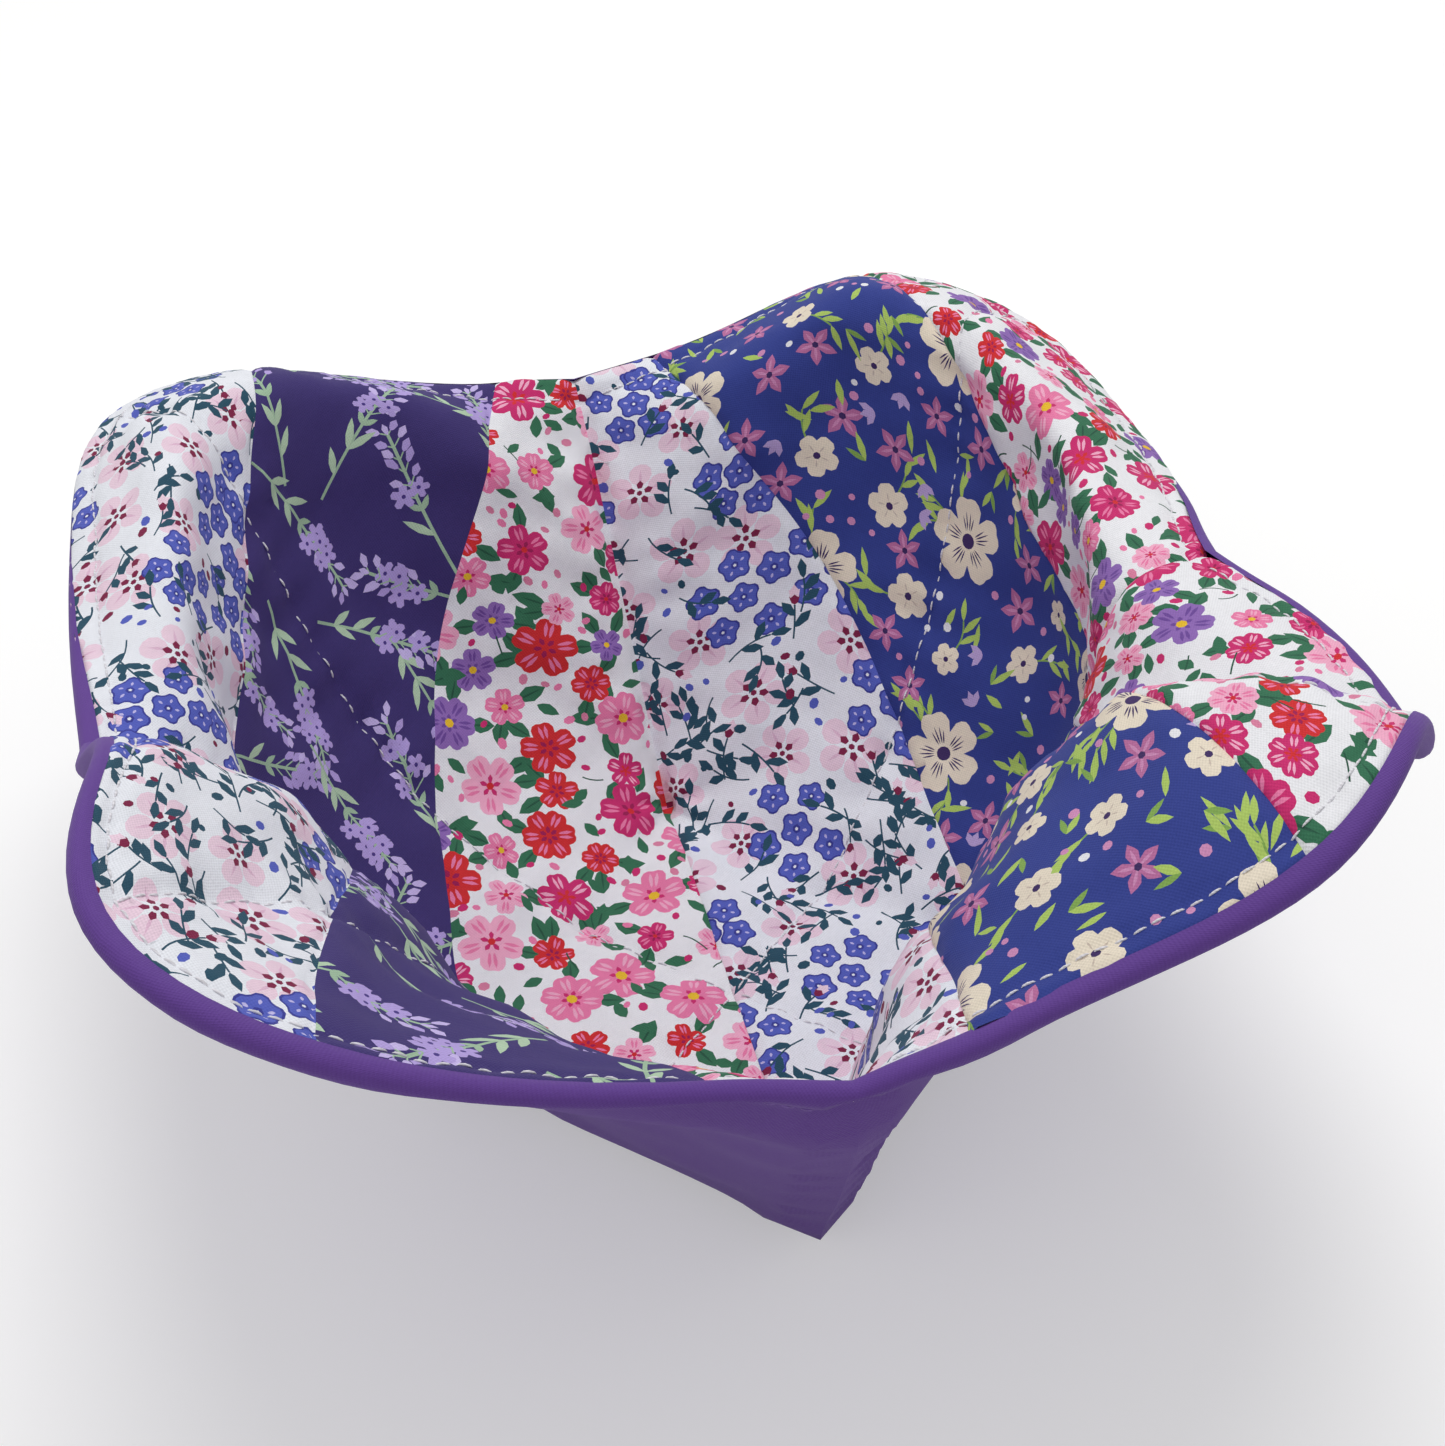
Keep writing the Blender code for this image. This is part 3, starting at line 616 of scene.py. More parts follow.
class Print:
    """A strip's motifs, scattered by a fixed seed, each an outline and the number of its ink."""

    def __init__(self, number, seed, inks):
        self.left = -HALF_SQUARE / MM + number * STRIP_WIDTH / MM
        self.width = STRIP_WIDTH / MM
        self.half = HALF_SQUARE / MM + BLEED
        self.chance = random.Random(seed)
        self.names, self.inks = list(inks), list(inks.values())
        self.shapes, self.taken = [], []

    def paint(self, outline, ink):
        outline = np.array(outline) * MM
        after = np.roll(outline, -1, axis=0)
        turns_left = (outline[:, 0] * after[:, 1] - outline[:, 1] * after[:, 0]).sum() > 0
        self.shapes.append((outline if turns_left else outline[::-1], self.names.index(ink)))

    def scatter(self, count, room, sizes=None, tries=12):
        """Free places on the strip, each the roomiest of a few tries, with a turn and a size."""
        for _ in range(count):
            best = None
            for _ in range(tries):
                x = self.chance.uniform(self.left - BLEED, self.left + self.width + BLEED)
                y = self.chance.uniform(-self.half, self.half)
                gap = min((math.hypot(x - a, y - b) - c for a, b, c in self.taken), default=99)
                if gap >= room and (best is None or gap > best[0]):
                    best = gap, x, y
            if best is not None:
                self.taken.append((best[1], best[2], room))
                turn = self.chance.uniform(0, math.tau)
                yield best[1], best[2], turn, self.chance.uniform(*sizes) if sizes else 0

    def flower(self, x, y, radius, ink, turn, petals=5, spread=0.42, notch=0.0, steps=7):
        outline = []
        for i in range(petals * steps):
            angle = math.tau * i / (petals * steps)
            off = (angle * petals / math.tau + 0.5) % 1 - 0.5
            bend = off * math.tau / petals
            middle = 1 - spread
            reach = middle * math.cos(bend)
            reach += math.sqrt(max(spread**2 - (middle * math.sin(bend)) ** 2, 0))
            reach *= 1 - notch * math.exp(-((off / NOTCH_WIDTH) ** 2))
            outline.append(spot(x, y, angle + turn, radius * reach))
        self.paint(outline, ink)

    def dot(self, x, y, radius, ink, steps=8, stretch=1.0, turn=0.0):
        angles = [math.tau * i / steps for i in range(steps)]
        sides = [(radius * stretch * math.cos(angle), radius * math.sin(angle)) for angle in angles]
        self.paint([spot(x, y, turn, along, across) for along, across in sides], ink)

    def leaf(self, x, y, length, width, ink, turn, belly=0.45):
        """A pointed leaf from its stalk end."""
        near, far = LEAF_SIDE
        side = (0, 0), near, (belly, 1), far, (1, 0)
        outline = [*side, *((a, -b) for a, b in side[3:0:-1])]
        self.paint([spot(x, y, turn, a * length, b * width / 2) for a, b in outline], ink)

    def stem(self, x, y, length, width, ink, turn, bend=0.0, steps=6):
        """A thin curved stalk; returns places along it with their headings."""
        route = []
        heading = turn
        for i in range(steps + 1):
            route.append((x, y, heading))
            heading = turn + bend * (i + 1) / steps
            x, y = spot(x, y, heading, length / steps)
        left, right = ([spot(*place, 0, side * width / 2) for place in route] for side in (1, -1))
        self.paint(left + right[::-1], ink)
        return route

    def ring(self, x, y, radius, count, length, width, ink, turn, belly=0.6):
        """Short marks pointing outwards round a flower's middle."""
        for angle in spokes(turn, count):
            self.leaf(*spot(x, y, angle, radius), length, width, ink, angle, belly)


MEADOW_INKS = {
    "blush": (240, 212, 228),
    "blush_edge": (228, 188, 212),
    "maroon": (128, 30, 70),
    "white": (236, 238, 246),
    "blue": (86, 98, 192),
    "blue_dark": (58, 62, 150),
    "lilac": (196, 190, 236),
    "teal": (38, 78, 98),
}


def meadow(number, seed):
    """White ground with small blue blossoms, large blush ones, and teal leaves."""
    art = Print(number, seed, MEADOW_INKS)
    chance = art.chance
    for x, y, turn, size in art.scatter(count=50, room=4.6, sizes=(4.9, 5.9)):
        for angle in spokes(turn):
            art.dot(*spot(x, y, angle, 0.62 * size), size * 0.36, "blush", steps=11)
        art.ring(x, y, 0, 5, size * 0.8, size * 0.09, "blush_edge", turn, belly=0.7)
        art.ring(x, y, size * 0.12, 5, size * 0.3, size * 0.22, "maroon", turn)
        art.dot(x, y, size * 0.17, "white")
        art.dot(x, y, size * 0.09, "maroon", steps=6)
    for x, y, turn, _ in art.scatter(count=36, room=4.1):
        for i in range(6):
            angle = turn + math.tau * i / 5 + chance.uniform(-0.2, 0.2)
            place = spot(x, y, angle, 0 if i == 5 else chance.uniform(5.2, 6.4))
            art.taken.append((*place, 2))
            size = chance.uniform(2.4, 3.0)
            art.flower(*place, size, "blue_dark", angle, spread=0.4, steps=5)
            art.flower(*place, size * 0.88, "blue", angle, spread=0.4, steps=5)
            art.ring(*place, size * 0.36, 5, size * 0.28, size * 0.16, "lilac", angle)
            art.dot(*place, size * 0.24, "blue_dark", steps=6)
            art.dot(*place, size * 0.1, "white", steps=5)
    for x, y, turn, length in art.scatter(count=190, room=1.15, sizes=(4.5, 7.5)):
        route = art.stem(x, y, length, 0.28, "teal", turn, bend=chance.uniform(-0.8, 0.8))
        for a, b, heading in (route[2], route[4]):
            length = chance.uniform(2.6, 3.8)
            art.leaf(a, b, length, 1.5, "teal", heading + chance.choice((-0.7, 0.7)), belly=0.6)
        a, b, heading = route[-1]
        if chance.random() < 0.35:
            art.leaf(a, b, 2.0, 1.6, "maroon", heading, belly=0.65)
            art.leaf(a, b, 3.2, 1.7, "blush", heading, belly=0.75)
            art.leaf(a, b, 1.6, 1.5, "maroon", heading, belly=0.65)
        else:
            art.leaf(a, b, 3.2, 1.4, "teal", heading, belly=0.6)
    for x, y, turn, size in art.scatter(count=150, room=0.8, sizes=(0.45, 0.8)):
        ink = chance.choice(("blue", "blue", "teal", "maroon"))
        art.dot(x, y, size, ink, steps=7, stretch=1.35, turn=turn)
    return art


SPRIG_INKS = {
    "sage": (164, 194, 164),
    "sage_light": (184, 210, 180),
    "lavender": (184, 164, 226),
    "lilac": (204, 188, 238),
    "heart": (74, 56, 134),
}


def sprigs(number, seed):
    """Dark plum ground with lavender sprigs lying all ways."""
    art = Print(number, seed, SPRIG_INKS)
    chance = art.chance
    for x, y, turn, length in art.scatter(count=44, room=5.6, sizes=(22, 28), tries=30):
        start = spot(x, y, turn, -length / 2)
        route = art.stem(*start, length, 0.5, "sage", turn, chance.uniform(-0.45, 0.45), steps=12)
        for a, b, heading in (route[2], route[4]):
            for side in (-1, 1):
                if chance.random() < 0.8:
                    size = chance.uniform(4.0, 5.6)
                    art.leaf(a, b, size, 1.35, "sage_light", heading + side * chance.uniform(0.4, 0.75))
        a, b, heading = route[6]
        for side in (-1, 1):
            art.leaf(a, b, 2.6, 1.0, "sage", heading + side * 0.7)
        for i in range(7, 13):
            a, b, heading = route[i]
            for side in (-1, 1):
                away = heading + side * chance.uniform(0.5, 1.0)
                reach = chance.uniform(1.0, 2.2) * (1.25 - (i - 7) / 9)
                art.stem(a, b, reach, 0.22, "sage", away, steps=2)
                end = spot(a, b, away, reach)
                if chance.random() < 0.4 and i < 11:
                    art.flower(*end, chance.uniform(1.7, 2.1), "lavender", away, spread=0.36, steps=4)
                    art.dot(*end, 0.35, "heart", steps=6)
                else:
                    size = chance.uniform(2.1, 2.9)
                    art.leaf(*end, size, 1.3, chance.choice(("lilac", "lavender")), away, belly=0.6)
        art.leaf(*route[-1][:2], 2.0, 1.0, "lilac", route[-1][2], belly=0.6)
    return art


GARDEN_INKS = {
    "magenta": (206, 44, 112),
    "magenta_dark": (158, 24, 84),
    "rose": (238, 128, 172),
    "rose_light": (246, 176, 204),
    "red": (212, 44, 48),
    "purple": (146, 108, 184),
    "purple_dark": (112, 76, 156),
    "yellow": (236, 192, 48),
    "green": (52, 112, 82),
    "green_dark": (36, 84, 64),
    "petal": (222, 132, 164),
}
# The petals, streaks and heart of each kind of blossom
GARDEN_BLOSSOMS = (
    ("magenta", "rose", "magenta_dark"),
    ("rose", "rose_light", "magenta"),
    ("red", "rose", "magenta_dark"),
    ("purple", "purple_dark", "purple_dark"),
    ("magenta", "rose_light", "red"),
    ("rose_light", "rose", "magenta"),
)


def garden(number, seed):
    """White ground packed with pink, red and purple blossoms and green leaves."""
    art = Print(number, seed, GARDEN_INKS)
    chance = art.chance
    blossoms = list(art.scatter(count=50, room=4.3, sizes=(4.6, 5.6)))
    blossoms += art.scatter(count=76, room=2.8, sizes=(3.0, 3.8))
    for x, y, turn, size in blossoms:
        for _ in range(2):
            away = chance.uniform(0, math.tau)
            place = spot(x, y, away, size * 0.7)
            art.leaf(*place, chance.uniform(4.2, 5.6), 2.7, "green", away)
            art.leaf(*place, 4.0, 0.35, "green_dark", away)
    for x, y, turn, size in blossoms:
        main, streak, heart = chance.choice(GARDEN_BLOSSOMS)
        petals = chance.choice((5, 5, 6))
        art.flower(x, y, size, main, turn, petals, spread=0.38, notch=0.1, steps=8)
        for angle in spokes(turn, petals):
            for off in (-0.2, 0.16):
                place = spot(x, y, angle + off, 0.34 * size)
                art.leaf(*place, size * 0.5, size * 0.12, streak, angle + off / 2, belly=0.6)
        art.ring(x, y, size * 0.08, petals, size * 0.26, size * 0.15, heart, turn + math.pi / petals)
        if main in ("purple", "rose"):
            art.dot(x, y, size * 0.17, "yellow", steps=7)
        else:
            art.dot(x, y, size * 0.12, "red", steps=6)
    for x, y, turn, length in art.scatter(count=110, room=1.2, sizes=(3.2, 4.6)):
        art.leaf(x, y, length, chance.uniform(1.6, 2.3), "green", turn)
    for x, y, turn, length in art.scatter(count=40, room=1.3, sizes=(3, 5)):
        art.stem(x, y, length, 0.25, "green_dark", turn, bend=chance.uniform(-1.2, 1.2))
    for x, y, turn, size in art.scatter(count=150, room=0.8, sizes=(0.5, 0.75)):
        ink = chance.choice(("petal", "magenta", "rose"))
        art.dot(x, y, size, ink, steps=7, stretch=1.4, turn=turn)
    return art


NIGHT_INKS = {
    "cream": (236, 224, 204),
    "cream_shade": (206, 190, 176),
    "heart": (62, 42, 96),
    "mauve": (188, 112, 160),
    "mauve_light": (208, 142, 186),
    "lime": (176, 204, 104),
    "lime_dark": (132, 170, 84),
    "lilac": (186, 164, 214),
    "white": (236, 236, 240),
    "pink": (214, 146, 190),
}


def night_garden(number, seed):
    """Royal blue ground with cream flowers, mauve stars and lime leaves."""
    art = Print(number, seed, NIGHT_INKS)
    chance = art.chance
    large = list(art.scatter(count=16, room=7.0, sizes=(6.2, 7.4), tries=30))
    small = list(art.scatter(count=30, room=3.3, sizes=(2.6, 3.8)))
    stars = list(art.scatter(count=52, room=3.1, sizes=(3.0, 3.7)))
    for sprays, flowers in ((3, large), (1, small)):
        for x, y, turn, size in flowers:
            for _ in range(sprays):
                away = chance.uniform(0, math.tau)
                start = spot(x, y, away, size * 0.6)
                route = art.stem(*start, 5.5, 0.3, "lime_dark", away, bend=chance.uniform(-0.9, 0.9))
                for a, b, heading in route[2::2]:
                    length = chance.uniform(3.4, 4.6)
                    art.leaf(a, b, length, 1.1, "lime", heading + chance.choice((-0.6, 0, 0.6)))
    for x, y, turn, size in large:
        art.flower(x, y, size, "cream", turn, spread=0.37, notch=0.1, steps=10)
        for angle in spokes(turn):
            for off in (-0.3, -0.12, 0.08, 0.26):
                place = spot(x, y, angle + off, 0.22 * size)
                art.leaf(*place, size * (0.46 - 0.5 * abs(off)), 0.26, "heart", angle + off, belly=0.35)
        art.dot(x, y, size * 0.17, "heart", steps=12)
    for x, y, turn, size in small:
        art.flower(x, y, size, "cream", turn, spread=0.4, notch=0.06, steps=6)
        art.ring(x, y, size * 0.2, 5, size * 0.36, 0.24, "cream_shade", turn)
        art.dot(x, y, size * 0.17, "heart", steps=7)
    for x, y, turn, size in stars:
        for angle in spokes(turn):
            art.leaf(x, y, size, size * 0.5, "mauve", angle, belly=0.55)
            art.leaf(x, y, size * 0.75, size * 0.14, "mauve_light", angle, belly=0.6)
        art.dot(x, y, size * 0.16, "heart", steps=6)
    for x, y, turn, length in art.scatter(count=120, room=1.3, sizes=(3.2, 5.2)):
        art.leaf(x, y, length, chance.uniform(0.9, 1.3), "lime", turn)
        if chance.random() < 0.4:
            art.leaf(x, y, 3.4, 0.9, "lime_dark", turn + 0.8)
    for x, y, turn, _ in art.scatter(count=18, room=1.5):
        for off in (-0.7, 0, 0.7):
            art.leaf(x, y, 2.6, 1.1, "lilac", turn + off, belly=0.65)
    for x, y, turn, size in art.scatter(count=130, room=0.8, sizes=(0.45, 0.8)):
        art.dot(x, y, size, chance.choice(("white", "pink", "mauve_light")))
    return art


# Materials


def plug(tree, node, inputs):
    """Sets a node's inputs, each to a value or to another node's socket."""
    for name, value in inputs.items():
        if isinstance(value, bpy.types.NodeSocket):
            tree.links.new(value, node.inputs[name])
        else:
            node.inputs[name].default_value = value


def add(tree, kind, inputs=None, **settings):
    """A new node with its settings and inputs."""
    node = tree.nodes.new(kind)
    for name, value in settings.items():
        setattr(node, name, value)
    plug(tree, node, inputs or {})
    return node


def socket(tree, way, name, kind):
    return tree.interface.new_socket(name, in_out=way, socket_type=f"NodeSocket{kind}")


def new_material(name):
    made = bpy.data.materials.new(name)
    made.use_nodes = True
    return made, made.node_tree, made.node_tree.nodes["Principled BSDF"]


def bump(tree, height, strength, distance):
    inputs = {"Height": height, "Strength": strength, "Distance": distance}
    return add(tree, "ShaderNodeBump", inputs).outputs["Normal"]


THREAD_PITCH = 0.5
# How far the threads' height darkens and lightens the ink, as painted shade and painted light
THREAD_SHADE = 0.16
CLOUD = 0.06
CLOTH_ROUGHNESS = 0.85
# How often slubs and clouding come, for each millimetre of cloth
SLUBS = 1.6
SLUB_STRETCH = 0.35, 3
CLOUDS = 0.09
MEAN_LIGHT = 0.97


def cotton_weave():
    """Shared weave: takes an ink and gives it with painted shade and light from the threads' height and with
    the cloth's own clouding, and gives the roughness and the height of the threads.
    """
    tree = bpy.data.node_groups.new("cotton_weave", "ShaderNodeTree")
    socket(tree, "INPUT", "Ink", "Color")
    values = {"Thread Pitch": THREAD_PITCH, "Thread Shade": THREAD_SHADE, "Cloud": CLOUD}
    for name, value in {**values, "Base Roughness": CLOTH_ROUGHNESS}.items():
        socket(tree, "INPUT", name, "Float").default_value = value
    for name, kind in (("Colour", "Color"), ("Roughness", "Float"), ("Height", "Float")):
        socket(tree, "OUTPUT", name, kind)
    given, result = tree.nodes.new("NodeGroupInput").outputs, tree.nodes.new("NodeGroupOutput")
    place = add(tree, "ShaderNodeUVMap", uv_map="cloth").outputs["UV"]
    size = {0: place, "Scale": UV_SPAN / MM}
    flat = add(tree, "ShaderNodeVectorMath", size, operation="SCALE").outputs[0]
    split = add(tree, "ShaderNodeSeparateXYZ", {0: flat}).outputs

    def count(operation, first, second=None):
        inputs = {0: first} if second is None else {0: first, 1: second}
        return add(tree, "ShaderNodeMath", inputs, operation=operation).outputs[0]

    def noise(scale, stretch=(1, 1, 1)):
        mapping = add(tree, "ShaderNodeMapping", {"Vector": flat, "Scale": stretch})
        inputs = {"Vector": mapping.outputs[0], "Scale": scale, "Detail": 2}
        return add(tree, "ShaderNodeTexNoise", inputs).outputs[0]

    turn = count("DIVIDE", math.tau, given["Thread Pitch"])
    warp, weft = (count("SINE", count("MULTIPLY", split[axis], turn)) for axis in ("X", "Y"))
    short, long = SLUB_STRETCH
    slubs = count("ADD", noise(SLUBS, (short, long, 1)), noise(SLUBS, (long, short, 1)))
    # The threads' height, slubs included, also scales the ink: painted shade in the weave's hollows and
    # painted light on its crowns; the clouding is the cloth's own uneven tone
    threads = count("MULTIPLY", count("MULTIPLY", warp, weft), 0.5)
    threads = count("ADD", threads, count("SUBTRACT", slubs, 1))
    shade = count("MULTIPLY", threads, given["Thread Shade"])
    cloud = count("MULTIPLY", count("SUBTRACT", noise(CLOUDS), 0.5), given["Cloud"])
    light = count("ADD", count("ADD", shade, cloud), MEAN_LIGHT)
    inputs = {0: given["Ink"], "Scale": light}
    colour = add(tree, "ShaderNodeVectorMath", inputs, operation="SCALE").outputs[0]
    rough = count("ADD", count("MULTIPLY", threads, -0.06), given["Base Roughness"])
    plug(tree, result, {"Colour": colour, "Roughness": rough, "Height": threads})
    return tree


def cloth_material(name, colour=None, relief=0.35, weave=None):
    """Woven cotton in one colour, or with its print read from the cloth."""
    made, tree, shader = new_material(name)
    if colour is None:
        ink = add(tree, "ShaderNodeVertexColor", layer_name="print").outputs["Color"]
    else:
        ink = (*linear(colour), 1)
    inputs = {"Ink": ink, "Thread Pitch": THREAD_PITCH, "Thread Shade": THREAD_SHADE}
    inputs |= {"Base Roughness": CLOTH_ROUGHNESS, **(weave or {})}
    threads = add(tree, "ShaderNodeGroup", inputs, node_tree=WEAVE).outputs
    looks = {
        "Base Color": threads["Colour"],
        "Roughness": threads["Roughness"],
        "Normal": bump(tree, threads["Height"], relief, 0.12 * MM),
        "Sheen Weight": 0.05,
        "Sheen Roughness": 0.5,
        "Specular IOR Level": 0.25,
    }
    plug(tree, shader, looks)
    return made


def thread_material(name, colour):
    """Twisted sewing thread, with painted shade in bands along its twist."""
    made, tree, shader = new_material(name)
    # A wave darkens bands of the thread to three quarters: painted shade in the grooves of its twist
    twist_shade = {"Vector": add(tree, "ShaderNodeTexCoord").outputs["Object"], "Scale": 900}
    twist_shade = add(tree, "ShaderNodeTexWave", twist_shade, bands_direction="DIAGONAL").outputs["Fac"]
    # The mix's inputs 6 and 7, and its output 2, are those for colour
    tones = {0: twist_shade, 6: (*linear(colour) * 0.75, 1), 7: (*linear(colour), 1)}
    tint = add(tree, "ShaderNodeMix", tones, data_type="RGBA")
    plug(tree, shader, {"Base Color": tint.outputs[2], "Roughness": 0.6, "Sheen Weight": 0.2})
    return made


def batting_material():
    """Needled cotton batting: cream, with matted fibres."""
    made, tree, shader = new_material("batting")
    place = add(tree, "ShaderNodeTexCoord").outputs["Object"]
    fibres = {"Vector": place, "Scale": 700, "Detail": 6, "Distortion": 2}
    fibres = add(tree, "ShaderNodeTexNoise", fibres).outputs[0]
    ramp = add(tree, "ShaderNodeValToRGB", {0: fibres})
    dark, light = ramp.color_ramp.elements
    dark.position = 0.3
    dark.color = (*linear((206, 196, 176)), 1)
    light.color = (*linear((240, 234, 220)), 1)
    looks = {"Base Color": ramp.outputs[0], "Roughness": 0.95, "Sheen Weight": 0.3}
    plug(tree, shader, {**looks, "Normal": bump(tree, fibres, 0.6, 0.4 * MM)})
    return made


WEAVE = cotton_weave()


# Pieces

LINING_UNDER_LIP = 0.1 * MM
LIP_TAIL = 0.5 * MM
LINING_RING = 1.3 * MM
OUTER_RING = 1.4 * MM
PAD_INSET = 2.2 * MM
PAD_RING = 6 * MM

# Each strip's print and seed, its ground and its slot, from left to right
LINING = (
    ("white_left", meadow, 31, (238, 240, 247), "print_white"),
    ("plum", sprigs, 7, (62, 50, 112), "print_plum"),
    ("pink_left", garden, 13, (240, 240, 244), "print_pink"),
    ("white_middle", meadow, 47, (238, 240, 247), "print_white"),
    ("blue", night_garden, 5, (50, 64, 142), "print_blue"),
    ("pink_right", garden, 29, (240, 240, 244), "print_pink"),
)


def new_piece(name, mesh, material=None):
    """An object in the scene for a mesh, a camera or a lamp."""
    if material:
        mesh.shade_smooth()
        mesh.materials.append(material)
    piece = bpy.data.objects.new(name, mesh)
    bpy.context.scene.collection.objects.link(piece)
    return piece


def cloth_mesh(name, cut, places, material, inks=None, ground=None):
    """The cut laid in place as one sheet, with its flat places as a UV map and its print as a colour."""
    mesh = bpy.data.meshes.new(name)
    mesh.from_pydata(places.tolist(), [], cut.triangles.tolist())
    corners = np.array([loop.vertex_index for loop in mesh.loops])
    weave = mesh.uv_layers.new(name="cloth")
    weave.data.foreach_set("uv", (cut.flat[corners] / UV_SPAN + 0.5).ravel())
    if inks is not None:
        table = np.array([ground, *inks])
        table = np.column_stack((linear(table), np.ones(len(table))))
        colour = mesh.color_attributes.new("print", "FLOAT_COLOR", "CORNER")
        colour.data.foreach_set("color", np.repeat(table[cut.inks + 1], 3, axis=0).ravel())
    return new_piece(name, mesh, material)


def lining_edge(flat):
    """The inset at which the lining ends: just under the outer's lip, or over the edge at the back."""
    return EDGE_RADIUS + lip(flat) - LINING_UNDER_LIP


def outer_edge(flat):
    """The flat inset at which the outer's lip ends, on the far side of the edge."""
    return EDGE_RADIUS * (1 - math.pi) - lip(flat) - LIP_TAIL


def between(edge, start, shares):
    """Lines at shares of the way from an inset to a cloth's own edge."""
    return [lambda flat, f=f: f * edge(flat) + (1 - f) * start for f in shares]


def lining_strip(number):
    """One printed strip, whose edges dip into its seams."""
    name, design, seed, ground, slot = LINING[number]
    left = -HALF_SQUARE + number * STRIP_WIDTH
    right = left + STRIP_WIDTH
    if number == 0:
        left -= 2 * EDGE_RADIUS
    if number == STRIP_COUNT - 1:
        right += 2 * EDGE_RADIUS
    art = design(number, seed)
    start = EDGE_RADIUS + OUTER_RING
    rings = [STITCH_INSET, STITCH_INSET - LINING_RING, STITCH_INSET + LINING_RING, start]
    rings += between(lining_edge, start, (0.3, 0.6, 0.85))
    cut = Cut(left, right, lining_edge, LINING_PITCH, rings, art.shapes)
    material = cloth_material(f"{name}_print")
    piece = cloth_mesh(f"{name}_strip", cut, lining_places(cut.flat), material, art.inks, ground)
    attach(piece, "root")
    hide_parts(f"lining_strip_{name}")
    size = STRIP_WIDTH + 2 * EDGE_RADIUS, 2 * HALF_SQUARE + 4 * EDGE_RADIUS
    min(cut.area, size[0] * size[1])


def outer_cloth():
    """The plain purple outer, from the foot round the edge and onto the inside."""
    rings = [STITCH_INSET, STITCH_INSET + OUTER_RING, STITCH_INSET - OUTER_RING, EDGE_RADIUS]
    rings += between(outer_edge, EDGE_RADIUS, np.linspace(0.1, 0.92, 9))
    reach = HALF_SQUARE + 6 * EDGE_RADIUS
    cut = Cut(-reach, reach, outer_edge, OUTER_PITCH, rings)
    cut.triangles = cut.triangles[:, ::-1]
    finer = {"Thread Pitch": 0.45, "Thread Shade": 0.12, "Base Roughness": 0.7}
    material = cloth_material("purple_cotton", (98, 62, 146), relief=0.4, weave=finer)
    piece = cloth_mesh("outer_cloth", cut, outer_places(cut.flat), material)
    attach(piece, "root")
    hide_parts("outer_shell")


def open_edges(triangles):
    seen = {(int(t[i]), int(t[(i + 1) % 3])) for t in triangles for i in range(3)}
    return [edge for edge in seen if edge[::-1] not in seen]


def pad(name, node, near, far):
    """A batting pad between two depths, thin at the stitched rim."""
    cut = Cut(-HALF_SQUARE, HALF_SQUARE, PAD_INSET, PAD_PITCH, (PAD_RING,))
    inset = rim_inset(cut.flat)
    faces = []
    for depth in (near, far):
        height = -depth(inset, cut.flat) + broad_folds(cut.flat)
        faces.append(lay(cut.flat, quarter_of(cut.flat), inset, height))
    count = len(cut.flat)
    triangles = [tuple(t) for t in cut.triangles]
    triangles += [tuple(i + count for i in t[::-1]) for t in cut.triangles]
    for a, b in open_edges(cut.triangles):
        triangles += [(b, a, a + count), (b, a + count, b + count)]
    mesh = bpy.data.meshes.new(name)
    mesh.from_pydata(np.vstack(faces).tolist(), [], triangles)
    piece = new_piece(name, mesh, batting_material())
    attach(piece, "root")
    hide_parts(node)


def pads():
    """Both pads, each filling its share of the stack and clear of the grooves in its cloth."""

    def at(share, clearance=0.0):
        def depth(inset, flat):
            return share * full_depth(inset, flat) + clearance * bell(dart_distance(flat), NEAR_DART)

        return depth

    pad("lining_padding", "lining_batting", at(0.34, 0.35 * MM), at(0.5))
    pad("outer_padding", "outer_batting", at(0.53), at(0.68, -0.5 * MM))


# Stitches

STITCH_STEP = 2.1 * MM
HALF_STITCH = 0.85 * MM
THREAD_RADIUS = 0.17 * MM
STITCH_SIDES = 6
# Along half a stitch, the thickness of the thread, and how far it rises out of the cloth
STITCH_RINGS = (-1, 0.15, -0.9), (-0.7, 0.75, -0.15), (0, 1, 0.15), (0.7, 0.75, -0.15), (1, 0.15, -0.9)
STITCH_LIFT = 0.1 * MM
HEADING_STEP = 0.3 * MM
DART_CLEARANCE = 0.8 * MM


def stitch_shape():
    """One short stitch along X, a bead that dives into the cloth at both ends."""
    mesh = bpy.data.meshes.new("stitch")
    sides, rings = STITCH_SIDES, len(STITCH_RINGS)
    angles = [math.tau * i / sides for i in range(sides)]
    places = [(x, r * math.cos(a), r * math.sin(a) + up) for x, r, up in STITCH_RINGS for a in angles]
    faces = []
    for row in range(rings - 1):
        for i in range(sides):
            j = (i + 1) % sides
            faces.append((row * sides + i, row * sides + j, (row + 1) * sides + j, (row + 1) * sides + i))
    faces += [tuple(range(sides))[::-1], tuple(range((rings - 1) * sides, rings * sides))]
    mesh.from_pydata(places, [], faces)
    mesh.shade_smooth()
    return bpy.data.objects.new("stitch", mesh)


